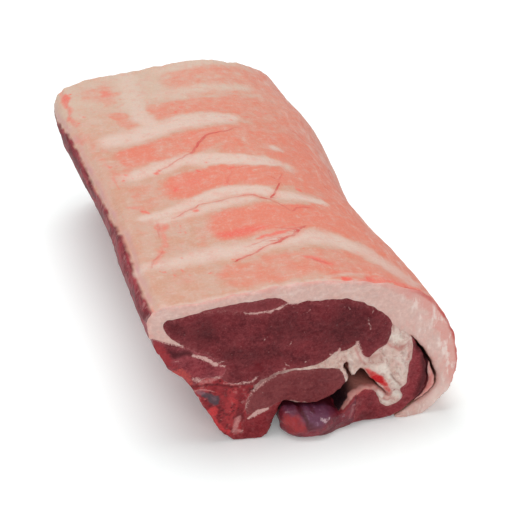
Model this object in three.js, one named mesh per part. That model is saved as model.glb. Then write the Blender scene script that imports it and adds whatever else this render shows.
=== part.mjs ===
// A raw short loin of lamb: half a saddle, lying fat side up with the tail of the flank curled under it.
// Millimetres, +Z up. The backbone runs along Y, the near cut faces -Y and the split backbone is on the -X side.
import * as THREE from "three";

// Sizes of the whole
const loinLength = 188; // between the two cuts, at the backbone
const nearCutSlant = 0.059; // the near cut comes forward by this much for each mm to the right
const slantFrom = -25; // where along X that slant is measured from
const waist = { depth: 8, at: -15, reach: 70 }; // how far the right side draws in, where along Y, over how much
const farTaper = { depth: 4.5, from: 45, over: 50 }; // and how far it narrows towards the far cut
const chineSwell = { depth: 2.2, at: 70, reach: 95 }; // the split side stands out a little towards the far end
const farCorner = { depth: 8.5, width: 23 }; // the far left corner is rounded off
const sway = { side: 0.8, height: 0.7, wave: 118 }; // slight unevenness along the length
const restHeight = 18; // below this height the underside is left level, so that it lies flat
const gap = 0.3; // between neighbouring muscles, bone and fat
const stations = 11; // sections along the length
const rollBulge = [
  { forward: 5.6, size: 0.7 }, // the curled end of the flank stands out of the cut
  { forward: 4.4, size: 0.88 },
  { forward: 2.2, size: 0.97 },
];
const rollMiddle = { x: 1, z: 4.2 };

// The cut surface is a map of muscles, bone and fat. Each line is shared by the pieces on its two sides,
// so they fit each other. points are [x, z] on the near cut, and cuts is the number of straight cuts in it.
const lines = {
  // outside, from the split backbone over the back to the tail of the flank
  fatFoot: { cuts: 4, points: [[-46, 44.5], [-49.5, 46.4], [-53, 47.8], [-56.2, 49.2]] },
  backFat: {
    cuts: 30,
    points: [[-56.2, 49.2], [-57, 55.5], [-53.5, 60.6], [-38, 62], [-18, 63.7], [0, 64.9], [15, 63.7],
      [30, 59.9], [42, 54.2], [49, 45.6], [53.3, 35.5], [55.2, 24], [54.2, 13], [49.8, 4.6], [44, 0]],
  },
  tailUnder: { cuts: 1, points: [[44, 0], [34.8, 0]] },
  tailInside: {
    cuts: 13,
    points: [[34.8, 0], [33.2, 0.7], [35.2, 2.5], [40, 5.4], [44.6, 9], [47.3, 13.6], [47.7, 17.6], [46, 23.4],
      [43.2, 29.2], [40.4, 33.2], [37.2, 36.9]],
  },
  // the eye of the loin and the thin strip on top of it
  eyeBackEnd: { cuts: 7, points: [[-46, 44.5], [-49.6, 48.6], [-52.2, 53.2], [-50.6, 55.7], [-46, 56.8], [-41, 58.2]] },
  stripTop: { cuts: 8, points: [[-41, 58.2], [-33, 59.3], [-20, 60.2], [-11.5, 60.4], [-7.4, 57.5]] },
  stripUnder: { cuts: 7, points: [[-41, 58.2], [-33, 57.3], [-25, 55.7], [-17, 55], [-11.2, 56], [-7.4, 57.5]] },
  eyeTop: { cuts: 11, points: [[-7.4, 57.5], [4, 57.5], [13, 56.5], [20, 54], [25.6, 49.9], [29, 46], [30, 43.5]] },
  eyeUnder: {
    cuts: 24,
    points: [[30, 43.5], [29.3, 38.5], [27.6, 34.8], [24.4, 33.3], [21.4, 30.9], [18.6, 32.6], [16.8, 37],
      [14.2, 34.9], [9.2, 34], [4.6, 30.5], [-4, 29.3], [-10, 29.1], [-16, 27], [-21.6, 24.4]],
  },
  eyeOnBone: { cuts: 3, points: [[-21.6, 24.4], [-29, 25.8], [-32.6, 28.6]] },
  eyeBackUnder: { cuts: 8, points: [[-32.6, 28.6], [-31.2, 33.4], [-35, 37.3], [-41.5, 41.8], [-46, 44.5]] },
  // the split backbone and the meat over it
  backWall: { cuts: 6, points: [[-56.2, 49.2], [-54.6, 43.8], [-51.4, 37], [-47.4, 31.8], [-43.8, 26.5]] },
  backOnBone: { cuts: 4, points: [[-32.6, 28.6], [-38.5, 28.9], [-43.8, 26.5]] },
  boneWall: { cuts: 7, points: [[-43.8, 26.5], [-41.6, 21.6], [-37.6, 14], [-34, 6.6], [-29.6, 2.2]] },
  boneFoot: { cuts: 4, points: [[-29.6, 2.2], [-25.4, 3.4], [-25, 7.5], [-23.8, 11]] },
  boneInside: { cuts: 4, points: [[-23.8, 11], [-24.2, 15.5], [-23, 20.4], [-21.6, 24.4]] },
  // the tenderloin and the small muscle below it
  lowTop: { cuts: 4, points: [[-23.8, 11], [-18.5, 12.7], [-13.5, 14], [-10.6, 15]] },
  lowLeft: { cuts: 2, points: [[-29.6, 2.2], [-28.2, 0.7], [-26.6, 0]] },
  lowUnder: { cuts: 1, points: [[-26.6, 0], [-17.6, 0]] },
  lowRight: { cuts: 6, points: [[-17.6, 0], [-15.2, 2.2], [-13.4, 6.6], [-11.8, 11.6], [-10.6, 15]] },
  tenderTop: { cuts: 9, points: [[-21.6, 24.4], [-21.2, 22.9], [-18, 25], [-10, 28.2], [0, 28.3], [10.6, 26.7]] },
  tenderEnd: { cuts: 4, points: [[10.6, 26.7], [12.2, 22.9], [13.1, 19.2]] },
  tenderUnder: { cuts: 9, points: [[13.1, 19.2], [10.2, 16.2], [5, 13.5], [0, 12.9], [-5.5, 14.2], [-10.6, 15]] },
  // the fat between the muscles, which hangs in folds over the hollow
  slit: {
    cuts: 9,
    points: [[13.1, 19.2], [13.9, 20.4], [13.2, 24.2], [12.4, 27.4], [13.4, 28.9], [14.3, 27.9], [14.5, 25.4], [15.3, 22.4]],
  },
  hollowTop: { cuts: 8, points: [[15.3, 22.4], [16.8, 24], [18.6, 26], [21.2, 22.9], [25, 17.6], [28.9, 12.4]] },
  rimTop: { cuts: 9, points: [[28.9, 12.4], [26.2, 14.9], [23.4, 16.9], [18.6, 17.5], [15.5, 15.5], [12.9, 11.4], [10.2, 7.8]] },
  rimRoll: { cuts: 4, points: [[10.2, 7.8], [12.6, 8.8], [15, 12.4], [17.2, 15.1]] },
  rimFlap: {
    cuts: 20,
    points: [[17.2, 15.1], [20.2, 16.2], [23.2, 15.2], [25.2, 12.4], [26.8, 8.6], [29.9, 6.7], [33.4, 8],
      [35.1, 10.8], [34.2, 13.3], [36, 17], [36.6, 23], [37.9, 29], [37.9, 33], [37.2, 36.9]],
  },
  fatOnFat: { cuts: 4, points: [[37.2, 36.9], [34, 40.2], [30, 43.5]] },
  // the flank: its muscle turns down inside the fat and curls under
  rollFlap: { cuts: 4, points: [[17.2, 15.1], [16.7, 11], [16.2, 6], [15.2, 1.5]] },
  flapUnder: { cuts: 5, points: [[15.2, 1.5], [20, 1.5], [27, 0.7], [31.6, 1.2]] },
  flapOutside: {
    cuts: 13,
    points: [[31.6, 1.2], [36, 4.1], [40.4, 8], [43, 13.6], [43.8, 20], [42.3, 27], [39.6, 32.3], [37.2, 36.9]],
  },
  rollTop: { cuts: 7, points: [[10.2, 7.8], [6, 10.6], [0, 11.6], [-6, 12.7], [-10, 12]] },
  rollLeft: { cuts: 4, points: [[-10, 12], [-11.6, 7.6], [-10.2, 2.6], [-6, 0]] },
  rollUnder: { cuts: 1, points: [[-6, 0], [10.5, 0]] },
  rollRight: { cuts: 2, points: [[10.5, 0], [13.4, 0.5], [15.2, 1.5]] },
  stripOutside: { cuts: 6, points: [[44.3, 25], [46.4, 19], [46.7, 14.6], [44.4, 9.9], [40.6, 6.9]] },
  stripInside: { cuts: 5, points: [[40.6, 6.9], [43.2, 10.9], [44.5, 16.4], [44.3, 25]] },
};

// Every piece: the lines round its section, its colour, how shiny it is and how far it stands out of the near cut
const pieces = {
  fat_cover: {
    round: ["backFat", "tailUnder", "tailInside", "fatOnFat", "eyeTop", "stripTop", "eyeBackEnd", "fatFoot"],
    color: 0xe2b8a2, roughness: 0.5, proud: 0,
  },
  cap_strip: { round: ["stripTop", "stripUnder"], color: 0x81393d, roughness: 0.45, proud: 0.1 },
  eye_muscle: {
    round: ["eyeTop", "eyeUnder", "eyeOnBone", "eyeBackUnder", "eyeBackEnd", "stripUnder"],
    color: 0x67333a, roughness: 0.45, proud: 0.3,
  },
  back_muscle: { round: ["fatFoot", "backWall", "backOnBone", "eyeBackUnder"], color: 0x7d363c, roughness: 0.45, proud: -0.2 },
  chine_bone: {
    round: ["backOnBone", "boneWall", "boneFoot", "boneInside", "eyeOnBone"],
    color: 0x9a3a3e, roughness: 0.5, proud: 0.2,
  },
  tenderloin: {
    round: ["tenderTop", "tenderEnd", "tenderUnder", "lowTop", "boneInside"],
    color: 0x733438, roughness: 0.45, proud: 0.4,
  },
  psoas_minor: {
    round: ["boneFoot", "lowTop", "lowRight", "lowUnder", "lowLeft"],
    color: 0x80474a, roughness: 0.45, proud: 0,
  },
  seam_fat: {
    round: ["eyeUnder", "tenderTop", "tenderEnd", "slit", "hollowTop", "rimTop", "rimRoll", "rimFlap", "fatOnFat"],
    color: 0xddc1b7, roughness: 0.5, proud: -0.2,
  },
  flap_muscle: { round: ["rimFlap", "flapOutside", "flapUnder", "rollFlap"], color: 0x6e2a2b, roughness: 0.45, proud: -0.3 },
  flap_roll: {
    round: ["rimRoll", "rollFlap", "rollRight", "rollUnder", "rollLeft", "rollTop"],
    color: 0x87383f, roughness: 0.35, proud: 0, bulge: rollBulge,
  },
  flank_strip: { round: ["stripOutside", "stripInside"], color: 0x8e4a48, roughness: 0.45, proud: -0.4 },
};

const smooth = (v) => THREE.MathUtils.smoothstep(v, 0, 1);

// A rounded bump of height depth at y, which fades to nothing at reach to each side.
function bump({ depth, at, reach }, y) {
  return depth * (0.5 + 0.5 * Math.cos(Math.PI * THREE.MathUtils.clamp((y - at) / reach, -1, 1)));
}

// The points of one shared line, evenly spaced along a smooth curve.
function along(name) {
  const { points, cuts } = lines[name];
  const curve = new THREE.CatmullRomCurve3(points.map(([x, z]) => new THREE.Vector3(x, 0, z)), false, "centripetal");
  return curve.getSpacedPoints(cuts).map((p) => new THREE.Vector2(p.x, p.z));
}

// The closed outline of a piece: its lines are joined end to end, each turned round where that is needed.
function outline(names) {
  const loop = [];
  const runs = names.map(along);
  const close = (a, b) => a.distanceTo(b) < 0.01;
  const [first, second] = runs;
  if (close(first[0], second[0]) || close(first[0], second.at(-1))) {
    if (!(close(first.at(-1), second[0]) || close(first.at(-1), second.at(-1)))) first.reverse();
  }
  for (const run of runs) {
    const last = loop.at(-1);
    if (last && !close(run[0], last)) run.reverse();
    loop.push(...(last ? run.slice(1) : run));
  }
  loop.pop();
  return THREE.ShapeUtils.area(loop) > 0 ? loop : loop.reverse();
}

// The outline drawn in by half the gap. A sharp corner moves along its middle, by no more than three times that.
function drawnIn(loop) {
  return loop.map((p, i) => {
    const before = loop.at(i - 1);
    const after = loop[(i + 1) % loop.length];
    const a = p.clone().sub(before).normalize();
    const b = after.clone().sub(p).normalize();
    const middle = new THREE.Vector2(-a.y - b.y, a.x + b.x);
    if (middle.length() < 1e-6) middle.copy(a);
    middle.normalize();
    const lean = Math.max(middle.dot(new THREE.Vector2(-a.y, a.x)), 1 / 3);
    return p.clone().addScaledVector(middle, gap / 2 / lean);
  });
}

// Where a point of the section lies at share t of the length, from 0 at the near cut to 1 at the far one.
function placed(x, z, t, forward) {
  const corner = smooth((slantFrom - x - 9) / farCorner.width) ** 2;
  const near = -loinLength / 2 - nearCutSlant * (x - slantFrom) - forward;
  const far = loinLength / 2 - farCorner.depth * corner;
  const y = near + t * (far - near);
  const turn = (2 * Math.PI * y) / sway.wave;
  const free = smooth((z - 1) / restHeight);
  const drawnInBy = bump(waist, y) + farTaper.depth * smooth((y - farTaper.from) / farTaper.over);
  const side = sway.side * Math.sin(turn + z / 25) * free - drawnInBy * smooth((x + 10) / 60) -
    bump(chineSwell, y) * smooth((-20 - x) / 32);
  const height = sway.height * Math.sin(turn * 0.8 + x / 30 + 1) * free;
  return new THREE.Vector3(x + side, y, z + height);
}

// The sections of a piece from front to back. The curled end has smaller ones in front of the cut.
function sections(piece) {
  const loop = drawnIn(outline(piece.round));
  const bulge = (piece.bulge ?? []).map(({ forward, size }) =>
    loop.map(({ x, y }) =>
      placed(rollMiddle.x + size * (x - rollMiddle.x), rollMiddle.z + size * (y - rollMiddle.z), 0, forward)));
  const along = Array.from({ length: stations }, (_, i) => i / (stations - 1));
  return [...bulge, ...along.map((t) => loop.map(({ x, y }) => placed(x, y, t, piece.proud * (1 - t))))];
}

// One closed body through the sections, with a flat cut at each end.
function loft(piece) {
  const rings = sections(piece);
  const count = rings[0].length;
  const corners = rings.flat();
  const faces = [];
  for (let k = 0; k + 1 < rings.length; k++) {
    for (let i = 0; i < count; i++) {
      const j = (i + 1) % count;
      const [a, b, c, d] = [k * count + i, k * count + j, (k + 1) * count + j, (k + 1) * count + i];
      faces.push(a, d, c, a, c, b);
    }
  }
  const flat = rings.at(-1).map((p) => new THREE.Vector2(p.x, p.z));
  const front = rings[0].map((p) => new THREE.Vector2(p.x, p.z));
  for (const [a, b, c] of THREE.ShapeUtils.triangulateShape(front, [])) faces.push(a, b, c);
  const back = (rings.length - 1) * count;
  for (const [a, b, c] of THREE.ShapeUtils.triangulateShape(flat, [])) faces.push(back + a, back + c, back + b);
  const geometry = new THREE.BufferGeometry().setFromPoints(corners);
  geometry.setIndex(faces);
  geometry.computeVertexNormals();
  return geometry;
}

const loin = new THREE.Group();
loin.name = "lamb_short_loin";
for (const [name, piece] of Object.entries(pieces)) {
  const { color, roughness } = piece;
  const mesh = new THREE.Mesh(loft(piece), new THREE.MeshStandardMaterial({ color, roughness, metalness: 0 }));
  mesh.name = name;
  loin.add(mesh);
}

// The middle of the underside is the origin.
const box = new THREE.Box3().setFromObject(loin);
const middle = box.getCenter(new THREE.Vector3());
for (const mesh of loin.children) mesh.position.set(-middle.x, -middle.y, -box.min.z);

export default loin;
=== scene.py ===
import bpy
import math
import numpy as np
from mathutils import Euler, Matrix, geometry


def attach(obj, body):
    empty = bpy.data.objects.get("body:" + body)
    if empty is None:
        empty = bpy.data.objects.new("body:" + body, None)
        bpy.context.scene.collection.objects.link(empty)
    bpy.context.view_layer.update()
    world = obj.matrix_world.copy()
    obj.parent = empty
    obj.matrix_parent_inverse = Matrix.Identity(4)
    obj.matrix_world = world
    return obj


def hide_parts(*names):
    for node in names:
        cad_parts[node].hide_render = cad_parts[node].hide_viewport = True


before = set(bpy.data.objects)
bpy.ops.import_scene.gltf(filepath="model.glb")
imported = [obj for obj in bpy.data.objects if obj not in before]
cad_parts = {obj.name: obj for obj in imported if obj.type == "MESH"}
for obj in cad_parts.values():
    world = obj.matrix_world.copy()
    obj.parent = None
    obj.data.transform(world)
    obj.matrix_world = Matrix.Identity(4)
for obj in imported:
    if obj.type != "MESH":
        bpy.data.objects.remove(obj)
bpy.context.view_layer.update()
scene = bpy.context.scene
scene.view_settings.view_transform = "Standard"
print("frame loaded")

# camera and light
camera = {"place": (-0.14394, -0.52294, 0.36015), "azimuth": -16.26, "elevation": 32.0, "lens": 110.16}
lights = {
    # name: place, looks at, size, watts
    "key": ((-0.12, 0.14, 1.2), (0, -0.02, 0.02), 0.95, 9.5),
    "front": ((-0.25, -1.4, 0.95), (0, -0.05, 0.03), 1.2, 7.1),
}
sky = {"color": (1.0, 1.0, 1.0), "strength": 0.43}


def makeCamera(name):
    made = bpy.data.objects.new(name, bpy.data.cameras.new(name))
    scene.collection.objects.link(made)
    made.location = camera["place"]
    made.rotation_euler = Euler((math.radians(90 - camera["elevation"]), 0, math.radians(camera["azimuth"])))
    made.data.lens = camera["lens"]
    made.data.sensor_width = 36
    made.data.clip_start, made.data.clip_end = 0.01, 20
    scene.camera = made


def makeLight(name, place, target, size, watts):
    made = bpy.data.objects.new(name, bpy.data.lights.new(name, "AREA"))
    scene.collection.objects.link(made)
    made.data.shape, made.data.size, made.data.energy = "DISK", size, watts
    made.location = place
    toward = np.array(target) - np.array(place)
    flat = math.hypot(toward[0], toward[1])
    made.rotation_euler = Euler((math.atan2(flat, -toward[2]), 0, math.atan2(-toward[0], toward[1])))


makeCamera("view")
for name, (place, target, size, watts) in lights.items():
    makeLight(name, place, target, size, watts)
world = bpy.data.worlds.new("sky")
scene.world = world
world.use_nodes = True
world.node_tree.nodes["Background"].inputs[0].default_value = (*sky["color"], 1)
world.node_tree.nodes["Background"].inputs[1].default_value = sky["strength"]
print("camera and lights made")


# shader maths: a socket that can be added, multiplied and so on
class Value:
    def __init__(self, paint, socket):
        self.paint, self.socket = paint, socket

    def __add__(self, other):
        return self.paint.maths("ADD", self, other)

    def __sub__(self, other):
        return self.paint.maths("SUBTRACT", self, other)

    def __rsub__(self, other):
        return self.paint.maths("SUBTRACT", other, self)

    def __mul__(self, other):
        return self.paint.maths("MULTIPLY", self, other)

    def __truediv__(self, other):
        return self.paint.maths("DIVIDE", self, other)

    def __pow__(self, other):
        return self.paint.maths("POWER", self, other)

    __radd__ = __add__
    __rmul__ = __mul__


class Paint:
    def __init__(self, name, spec=None):  # spec: the piece's colours, which mix and layers take by name
        self.spec = spec
        self.material = bpy.data.materials.new(name)
        self.material.use_nodes = True
        self.tree = self.material.node_tree
        self.tree.nodes.clear()

    def node(self, kind, settings=None, inputs=None, output=0):
        made = self.tree.nodes.new(kind)
        for key, value in (settings or {}).items():
            setattr(made, key, value)
        for key, value in (inputs or {}).items():
            if isinstance(value, Value):
                self.tree.links.new(value.socket, made.inputs[key])
            else:
                made.inputs[key].default_value = value
        return Value(self, made.outputs[output]) if len(made.outputs) else None

    def maths(self, operation, a, b=0.0, clamp=False):
        return self.node("ShaderNodeMath", {"operation": operation, "use_clamp": clamp}, {0: a, 1: b})

    def clamp(self, value):
        return self.maths("ADD", value, 0.0, True)

    def step(self, value, low, high):  # 0 below low, 1 above high, smooth between
        return self.node("ShaderNodeMapRange", {"interpolation_type": "SMOOTHSTEP"},
                         {"Value": value, "From Min": low, "From Max": high})

    def color(self, color):
        color = self.spec[color] if isinstance(color, str) else color
        return color if isinstance(color, Value) else (*color, 1.0)

    def mix(self, factor, a, b):
        return self.node("ShaderNodeMix", {"data_type": "RGBA"}, {0: factor, 6: self.color(a), 7: self.color(b)}, 2)

    def layers(self, color, coats):  # coats: (how much, colour), each laid over the ones before
        for factor, coat in coats:
            color = self.mix(factor, color, coat)
        return color

    def torn(self, mask, wear, low, high, full, start=0.02):  # a mask whose edge is broken up by (noise, amount) pairs
        edge = mask
        for noise, amount in wear:
            edge = edge + (noise - 0.5) * amount
        return self.step(edge, low, high) * self.step(mask, start, full)

    def mask(self, name):
        return self.node("ShaderNodeAttribute", {"attribute_name": name}, output=2)

    def place(self, stretch=(1, 1, 1), turn=(0, 0, 0)):
        here = self.node("ShaderNodeTexCoord", output=3)
        return self.node("ShaderNodeMapping", {"vector_type": "POINT"},
                         {"Vector": here, "Scale": stretch, "Rotation": turn})

    def noise(self, sizeMm, detail=3, rough=0.55, stretch=(1, 1, 1), turn=(0, 0, 0)):
        return self.node("ShaderNodeTexNoise", None, {
            "Vector": self.place(stretch, turn), "Scale": 1000 / sizeMm, "Detail": detail, "Roughness": rough})

    def cells(self, sizeMm):
        return self.node("ShaderNodeTexVoronoi", {"feature": "F1"}, {"Vector": self.place(), "Scale": 1000 / sizeMm})

    def bump(self, height, strength, distance=0.001):
        return self.node("ShaderNodeBump", None, {"Height": height, "Strength": strength, "Distance": distance})

    def finish(self, color, roughness, normal=None, soft=0.1, softReach=0.003, coat=0.0, coatRoughness=0.2,
               specular=0.5, glow=0.0):
        links = {"Base Color": color, "Roughness": roughness, "Subsurface Weight": soft,
                 "Subsurface Radius": (1.0, 0.35, 0.25), "Subsurface Scale": softReach,
                 "Coat Weight": coat, "Coat Roughness": coatRoughness, "Specular IOR Level": specular,
                 "Emission Strength": glow}
        if normal:
            links["Normal"] = normal
        shader = self.node("ShaderNodeBsdfPrincipled", None, links)
        self.node("ShaderNodeOutputMaterial", None, {0: shader})
        return self.material


def dimmed(color, share):
    return tuple(part * share for part in color)


# the shape of the loin, in mm on the near cut; the same lines as in the part's source
loin = {
    "length": 188.0, "slant": 0.059, "slantFrom": -25.0,
    "waist": (8.0, -15.0, 70.0), "taper": (4.5, 45.0, 50.0), "swell": (2.2, 70.0, 95.0),
    "corner": (8.5, 23.0), "sway": (0.8, 0.7, 118.0), "restHeight": 18.0,
    "middle": (-1.958, -3.898, 0.15),
}
sectionLines = {
    "fatFoot": [(-46, 44.5), (-49.5, 46.4), (-53, 47.8), (-56.2, 49.2)],
    "backFat": [(-56.2, 49.2), (-57, 55.5), (-53.5, 60.6), (-38, 62), (-18, 63.7), (0, 64.9), (15, 63.7),
                (30, 59.9), (42, 54.2), (49, 45.6), (53.3, 35.5), (55.2, 24), (54.2, 13), (49.8, 4.6), (44, 0)],
    "tailUnder": [(44, 0), (34.8, 0)],
    "tailInside": [(34.8, 0), (33.2, 0.7), (35.2, 2.5), (40, 5.4), (44.6, 9), (47.3, 13.6), (47.7, 17.6),
                   (46, 23.4), (43.2, 29.2), (40.4, 33.2), (37.2, 36.9)],
    "eyeBackEnd": [(-46, 44.5), (-49.6, 48.6), (-52.2, 53.2), (-50.6, 55.7), (-46, 56.8), (-41, 58.2)],
    "stripTop": [(-41, 58.2), (-33, 59.3), (-20, 60.2), (-11.5, 60.4), (-7.4, 57.5)],
    "stripUnder": [(-41, 58.2), (-33, 57.3), (-25, 55.7), (-17, 55), (-11.2, 56), (-7.4, 57.5)],
    "eyeTop": [(-7.4, 57.5), (4, 57.5), (13, 56.5), (20, 54), (25.6, 49.9), (29, 46), (30, 43.5)],
    "eyeUnder": [(30, 43.5), (29.3, 38.5), (27.6, 34.8), (24.4, 33.3), (21.4, 30.9), (18.6, 32.6), (16.8, 37),
                 (14.2, 34.9), (9.2, 34), (4.6, 30.5), (-4, 29.3), (-10, 29.1), (-16, 27), (-21.6, 24.4)],
    "eyeOnBone": [(-21.6, 24.4), (-29, 25.8), (-32.6, 28.6)],
    "eyeBackUnder": [(-32.6, 28.6), (-31.2, 33.4), (-35, 37.3), (-41.5, 41.8), (-46, 44.5)],
    "backWall": [(-56.2, 49.2), (-54.6, 43.8), (-51.4, 37), (-47.4, 31.8), (-43.8, 26.5)],
    "backOnBone": [(-32.6, 28.6), (-38.5, 28.9), (-43.8, 26.5)],
    "boneWall": [(-43.8, 26.5), (-41.6, 21.6), (-37.6, 14), (-34, 6.6), (-29.6, 2.2)],
    "boneFoot": [(-29.6, 2.2), (-25.4, 3.4), (-25, 7.5), (-23.8, 11)],
    "boneInside": [(-23.8, 11), (-24.2, 15.5), (-23, 20.4), (-21.6, 24.4)],
    "lowTop": [(-23.8, 11), (-18.5, 12.7), (-13.5, 14), (-10.6, 15)],
    "lowLeft": [(-29.6, 2.2), (-28.2, 0.7), (-26.6, 0)],
    "lowUnder": [(-26.6, 0), (-17.6, 0)],
    "lowRight": [(-17.6, 0), (-15.2, 2.2), (-13.4, 6.6), (-11.8, 11.6), (-10.6, 15)],
    "tenderTop": [(-21.6, 24.4), (-21.2, 22.9), (-18, 25), (-10, 28.2), (0, 28.3), (10.6, 26.7)],
    "tenderEnd": [(10.6, 26.7), (12.2, 22.9), (13.1, 19.2)],
    "tenderUnder": [(13.1, 19.2), (10.2, 16.2), (5, 13.5), (0, 12.9), (-5.5, 14.2), (-10.6, 15)],
    "slit": [(13.1, 19.2), (13.9, 20.4), (13.2, 24.2), (12.4, 27.4), (13.4, 28.9), (14.3, 27.9), (14.5, 25.4),
             (15.3, 22.4)],
    "hollowTop": [(15.3, 22.4), (16.8, 24), (18.6, 26), (21.2, 22.9), (25, 17.6), (28.9, 12.4)],
    "rimTop": [(28.9, 12.4), (26.2, 14.9), (23.4, 16.9), (18.6, 17.5), (15.5, 15.5), (12.9, 11.4), (10.2, 7.8)],
    "rimRoll": [(10.2, 7.8), (12.6, 8.8), (15, 12.4), (17.2, 15.1)],
    "rimFlap": [(17.2, 15.1), (20.2, 16.2), (23.2, 15.2), (25.2, 12.4), (26.8, 8.6), (29.9, 6.7), (33.4, 8),
                (35.1, 10.8), (34.2, 13.3), (36, 17), (36.6, 23), (37.9, 29), (37.9, 33), (37.2, 36.9)],
    "fatOnFat": [(37.2, 36.9), (34, 40.2), (30, 43.5)],
    "rollFlap": [(17.2, 15.1), (16.7, 11), (16.2, 6), (15.2, 1.5)],
    "flapUnder": [(15.2, 1.5), (20, 1.5), (27, 0.7), (31.6, 1.2)],
    "flapOutside": [(31.6, 1.2), (36, 4.1), (40.4, 8), (43, 13.6), (43.8, 20), (42.3, 27), (39.6, 32.3), (37.2, 36.9)],
    "rollTop": [(10.2, 7.8), (6, 10.6), (0, 11.6), (-6, 12.7), (-10, 12)],
    "rollLeft": [(-10, 12), (-11.6, 7.6), (-10.2, 2.6), (-6, 0)],
    "rollUnder": [(-6, 0), (10.5, 0)],
    "rollRight": [(10.5, 0), (13.4, 0.5), (15.2, 1.5)],
    "stripOutside": [(44.3, 25), (46.4, 19), (46.7, 14.6), (44.4, 9.9), (40.6, 6.9)],
    "stripInside": [(40.6, 6.9), (43.2, 10.9), (44.5, 16.4), (44.3, 25)],
}
openLines = {"backFat", "tailUnder", "tailInside", "backWall", "boneWall", "lowLeft", "lowUnder", "lowRight",
             "tenderUnder", "slit", "hollowTop", "rimTop", "flapUnder", "flapOutside", "rollTop", "rollLeft",
             "rollUnder", "rollRight", "stripOutside", "stripInside"}
shadedLines = {"tenderUnder", "slit", "hollowTop", "rimTop", "rollTop", "tailInside", "flapOutside", "stripOutside",
               "lowRight", "rollLeft"}


def smooth(v):
    v = np.clip(v, 0, 1)
    return v * v * (3 - 2 * v)


def scatter(points, size, seed=0, octaves=1):  # smooth noise of about -1 to 1 at points given in mm
    points = np.asarray(points, float)
    total, weight = np.zeros(len(points)), 0
    for octave in range(octaves):
        q = points * 2**octave / size + 17.31 * (seed + 1) + 5.73 * octave
        cell = np.floor(q)
        part = q - cell
        fade = part**3 * (part * (part * 6 - 15) + 10)
        cell = cell.astype(np.int64).astype(np.uint64)
        for corner in range(2 ** q.shape[1]):
            share, slope = np.ones(len(q)), np.zeros(len(q))
            number = np.full(len(q), 977 * (seed + 1) + octave, np.uint64)
            for axis in range(q.shape[1]):
                far = corner >> axis & 1
                share *= fade[:, axis] if far else 1 - fade[:, axis]
                number = (number ^ (cell[:, axis] + np.uint64(far))) * np.uint64(0x9E3779B97F4A7C15)
                number ^= number >> np.uint64(31)
            for axis in range(q.shape[1]):
                lean = (number >> np.uint64(20 * axis) & np.uint64(0xFFFFF)) / 0x80000 - 1
                slope += lean * (part[:, axis] - (corner >> axis & 1))
            total += 2.3 * share * slope * 0.5**octave
        weight += 0.5**octave
    return total / weight


def spline(points, step):  # points every step mm or less on a smooth curve through the given ones
    p = np.array(points, float)
    if len(p) > 2:
        ends = np.vstack([2 * p[0] - p[1], p, 2 * p[-1] - p[-2]])
        fine = []
        for a, b, c, d in zip(ends, ends[1:], ends[2:], ends[3:]):
            u, v, w = (max(np.linalg.norm(e), 1e-6) ** 0.5 for e in (b - a, c - b, d - c))
            start = ((b - a) / u - (c - a) / (u + v) + (c - b) / v) * v
            stop = ((c - b) / v - (d - b) / (v + w) + (d - c) / w) * v
            t = np.linspace(0, 1, 80, endpoint=False)[:, None]
            cubed, squared = 2 * b - 2 * c + start + stop, 3 * c - 3 * b - 2 * start - stop
            fine.append(cubed * t**3 + squared * t**2 + start * t + b)
        p = np.vstack([*fine, p[-1:]])
    run = np.concatenate([[0], np.cumsum(np.linalg.norm(np.diff(p, axis=0), axis=1))])
    places = np.linspace(0, run[-1], max(2, math.ceil(run[-1] / step)) + 1)
    return np.stack([np.interp(places, run, p[:, k]) for k in (0, 1)], 1)


def along(name, step):
    return spline(sectionLines[name], step)


def outline(names, step, skinStep=0.85):  # closed and anticlockwise, with the line that each point lies on
    runs = [(name, along(name, skinStep if name == "backFat" else step)) for name in names]
    near = lambda a, b: np.linalg.norm(a - b) < 0.01
    second = runs[1][1]
    if not (near(runs[0][1][-1], second[0]) or near(runs[0][1][-1], second[-1])):
        runs[0] = (runs[0][0], runs[0][1][::-1])
    points, tags = [], []
    for name, run in runs:
        if points and not near(run[0], last):
            run = run[::-1]
        points.append(run[:-1])
        tags += [name] * (len(run) - 1)
        last = run[-1]
    points, tags = np.vstack(points), np.array(tags)
    x, z = points.T
    if np.sum(x * np.roll(z, -1) - np.roll(x, -1) * z) < 0:
        points, tags = points[::-1], tags[::-1]
    return points, tags


def ragged(points, t):  # the small irregularity of every edge, which is strongest at the cuts
    free = smooth((points[:, 1:] - 0.8) / 5)
    shift = np.stack([scatter(points, 3.4, 3, 2), scatter(points, 3.4, 4, 2)], 1) * 0.42
    shift += np.stack([scatter(points, 10, 5), scatter(points, 10, 6)], 1) * 0.3
    return points + shift * free * (0.15 + 0.85 * smooth(1 - (min(t, 1 - t) * loin["length"] - 0.5) / 7))


def placed(points, t, forward=0.0):  # from the section map to mm in the object's own frame
    x, z = points[..., 0], points[..., 1]
    bump = lambda d, at, reach, y: d * (0.5 + 0.5 * np.cos(np.pi * np.clip((y - at) / reach, -1, 1)))
    corner = smooth((loin["slantFrom"] - x - 9) / loin["corner"][1]) ** 2
    front = -loin["length"] / 2 - loin["slant"] * (x - loin["slantFrom"]) - forward
    back = loin["length"] / 2 - loin["corner"][0] * corner
    y = front + t * (back - front)
    turn = 2 * np.pi * y / loin["sway"][2]
    free = smooth((z - 1) / loin["restHeight"])
    drawnIn = bump(*loin["waist"], y) + loin["taper"][0] * smooth((y - loin["taper"][1]) / loin["taper"][2])
    side = loin["sway"][0] * np.sin(turn + z / 25) * free - drawnIn * smooth((x + 10) / 60)
    side -= bump(*loin["swell"], y) * smooth((-20 - x) / 32)
    height = loin["sway"][1] * np.sin(turn * 0.8 + x / 30 + 1) * free
    return np.stack([x + side, y, z + height], -1) - loin["middle"]


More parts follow.
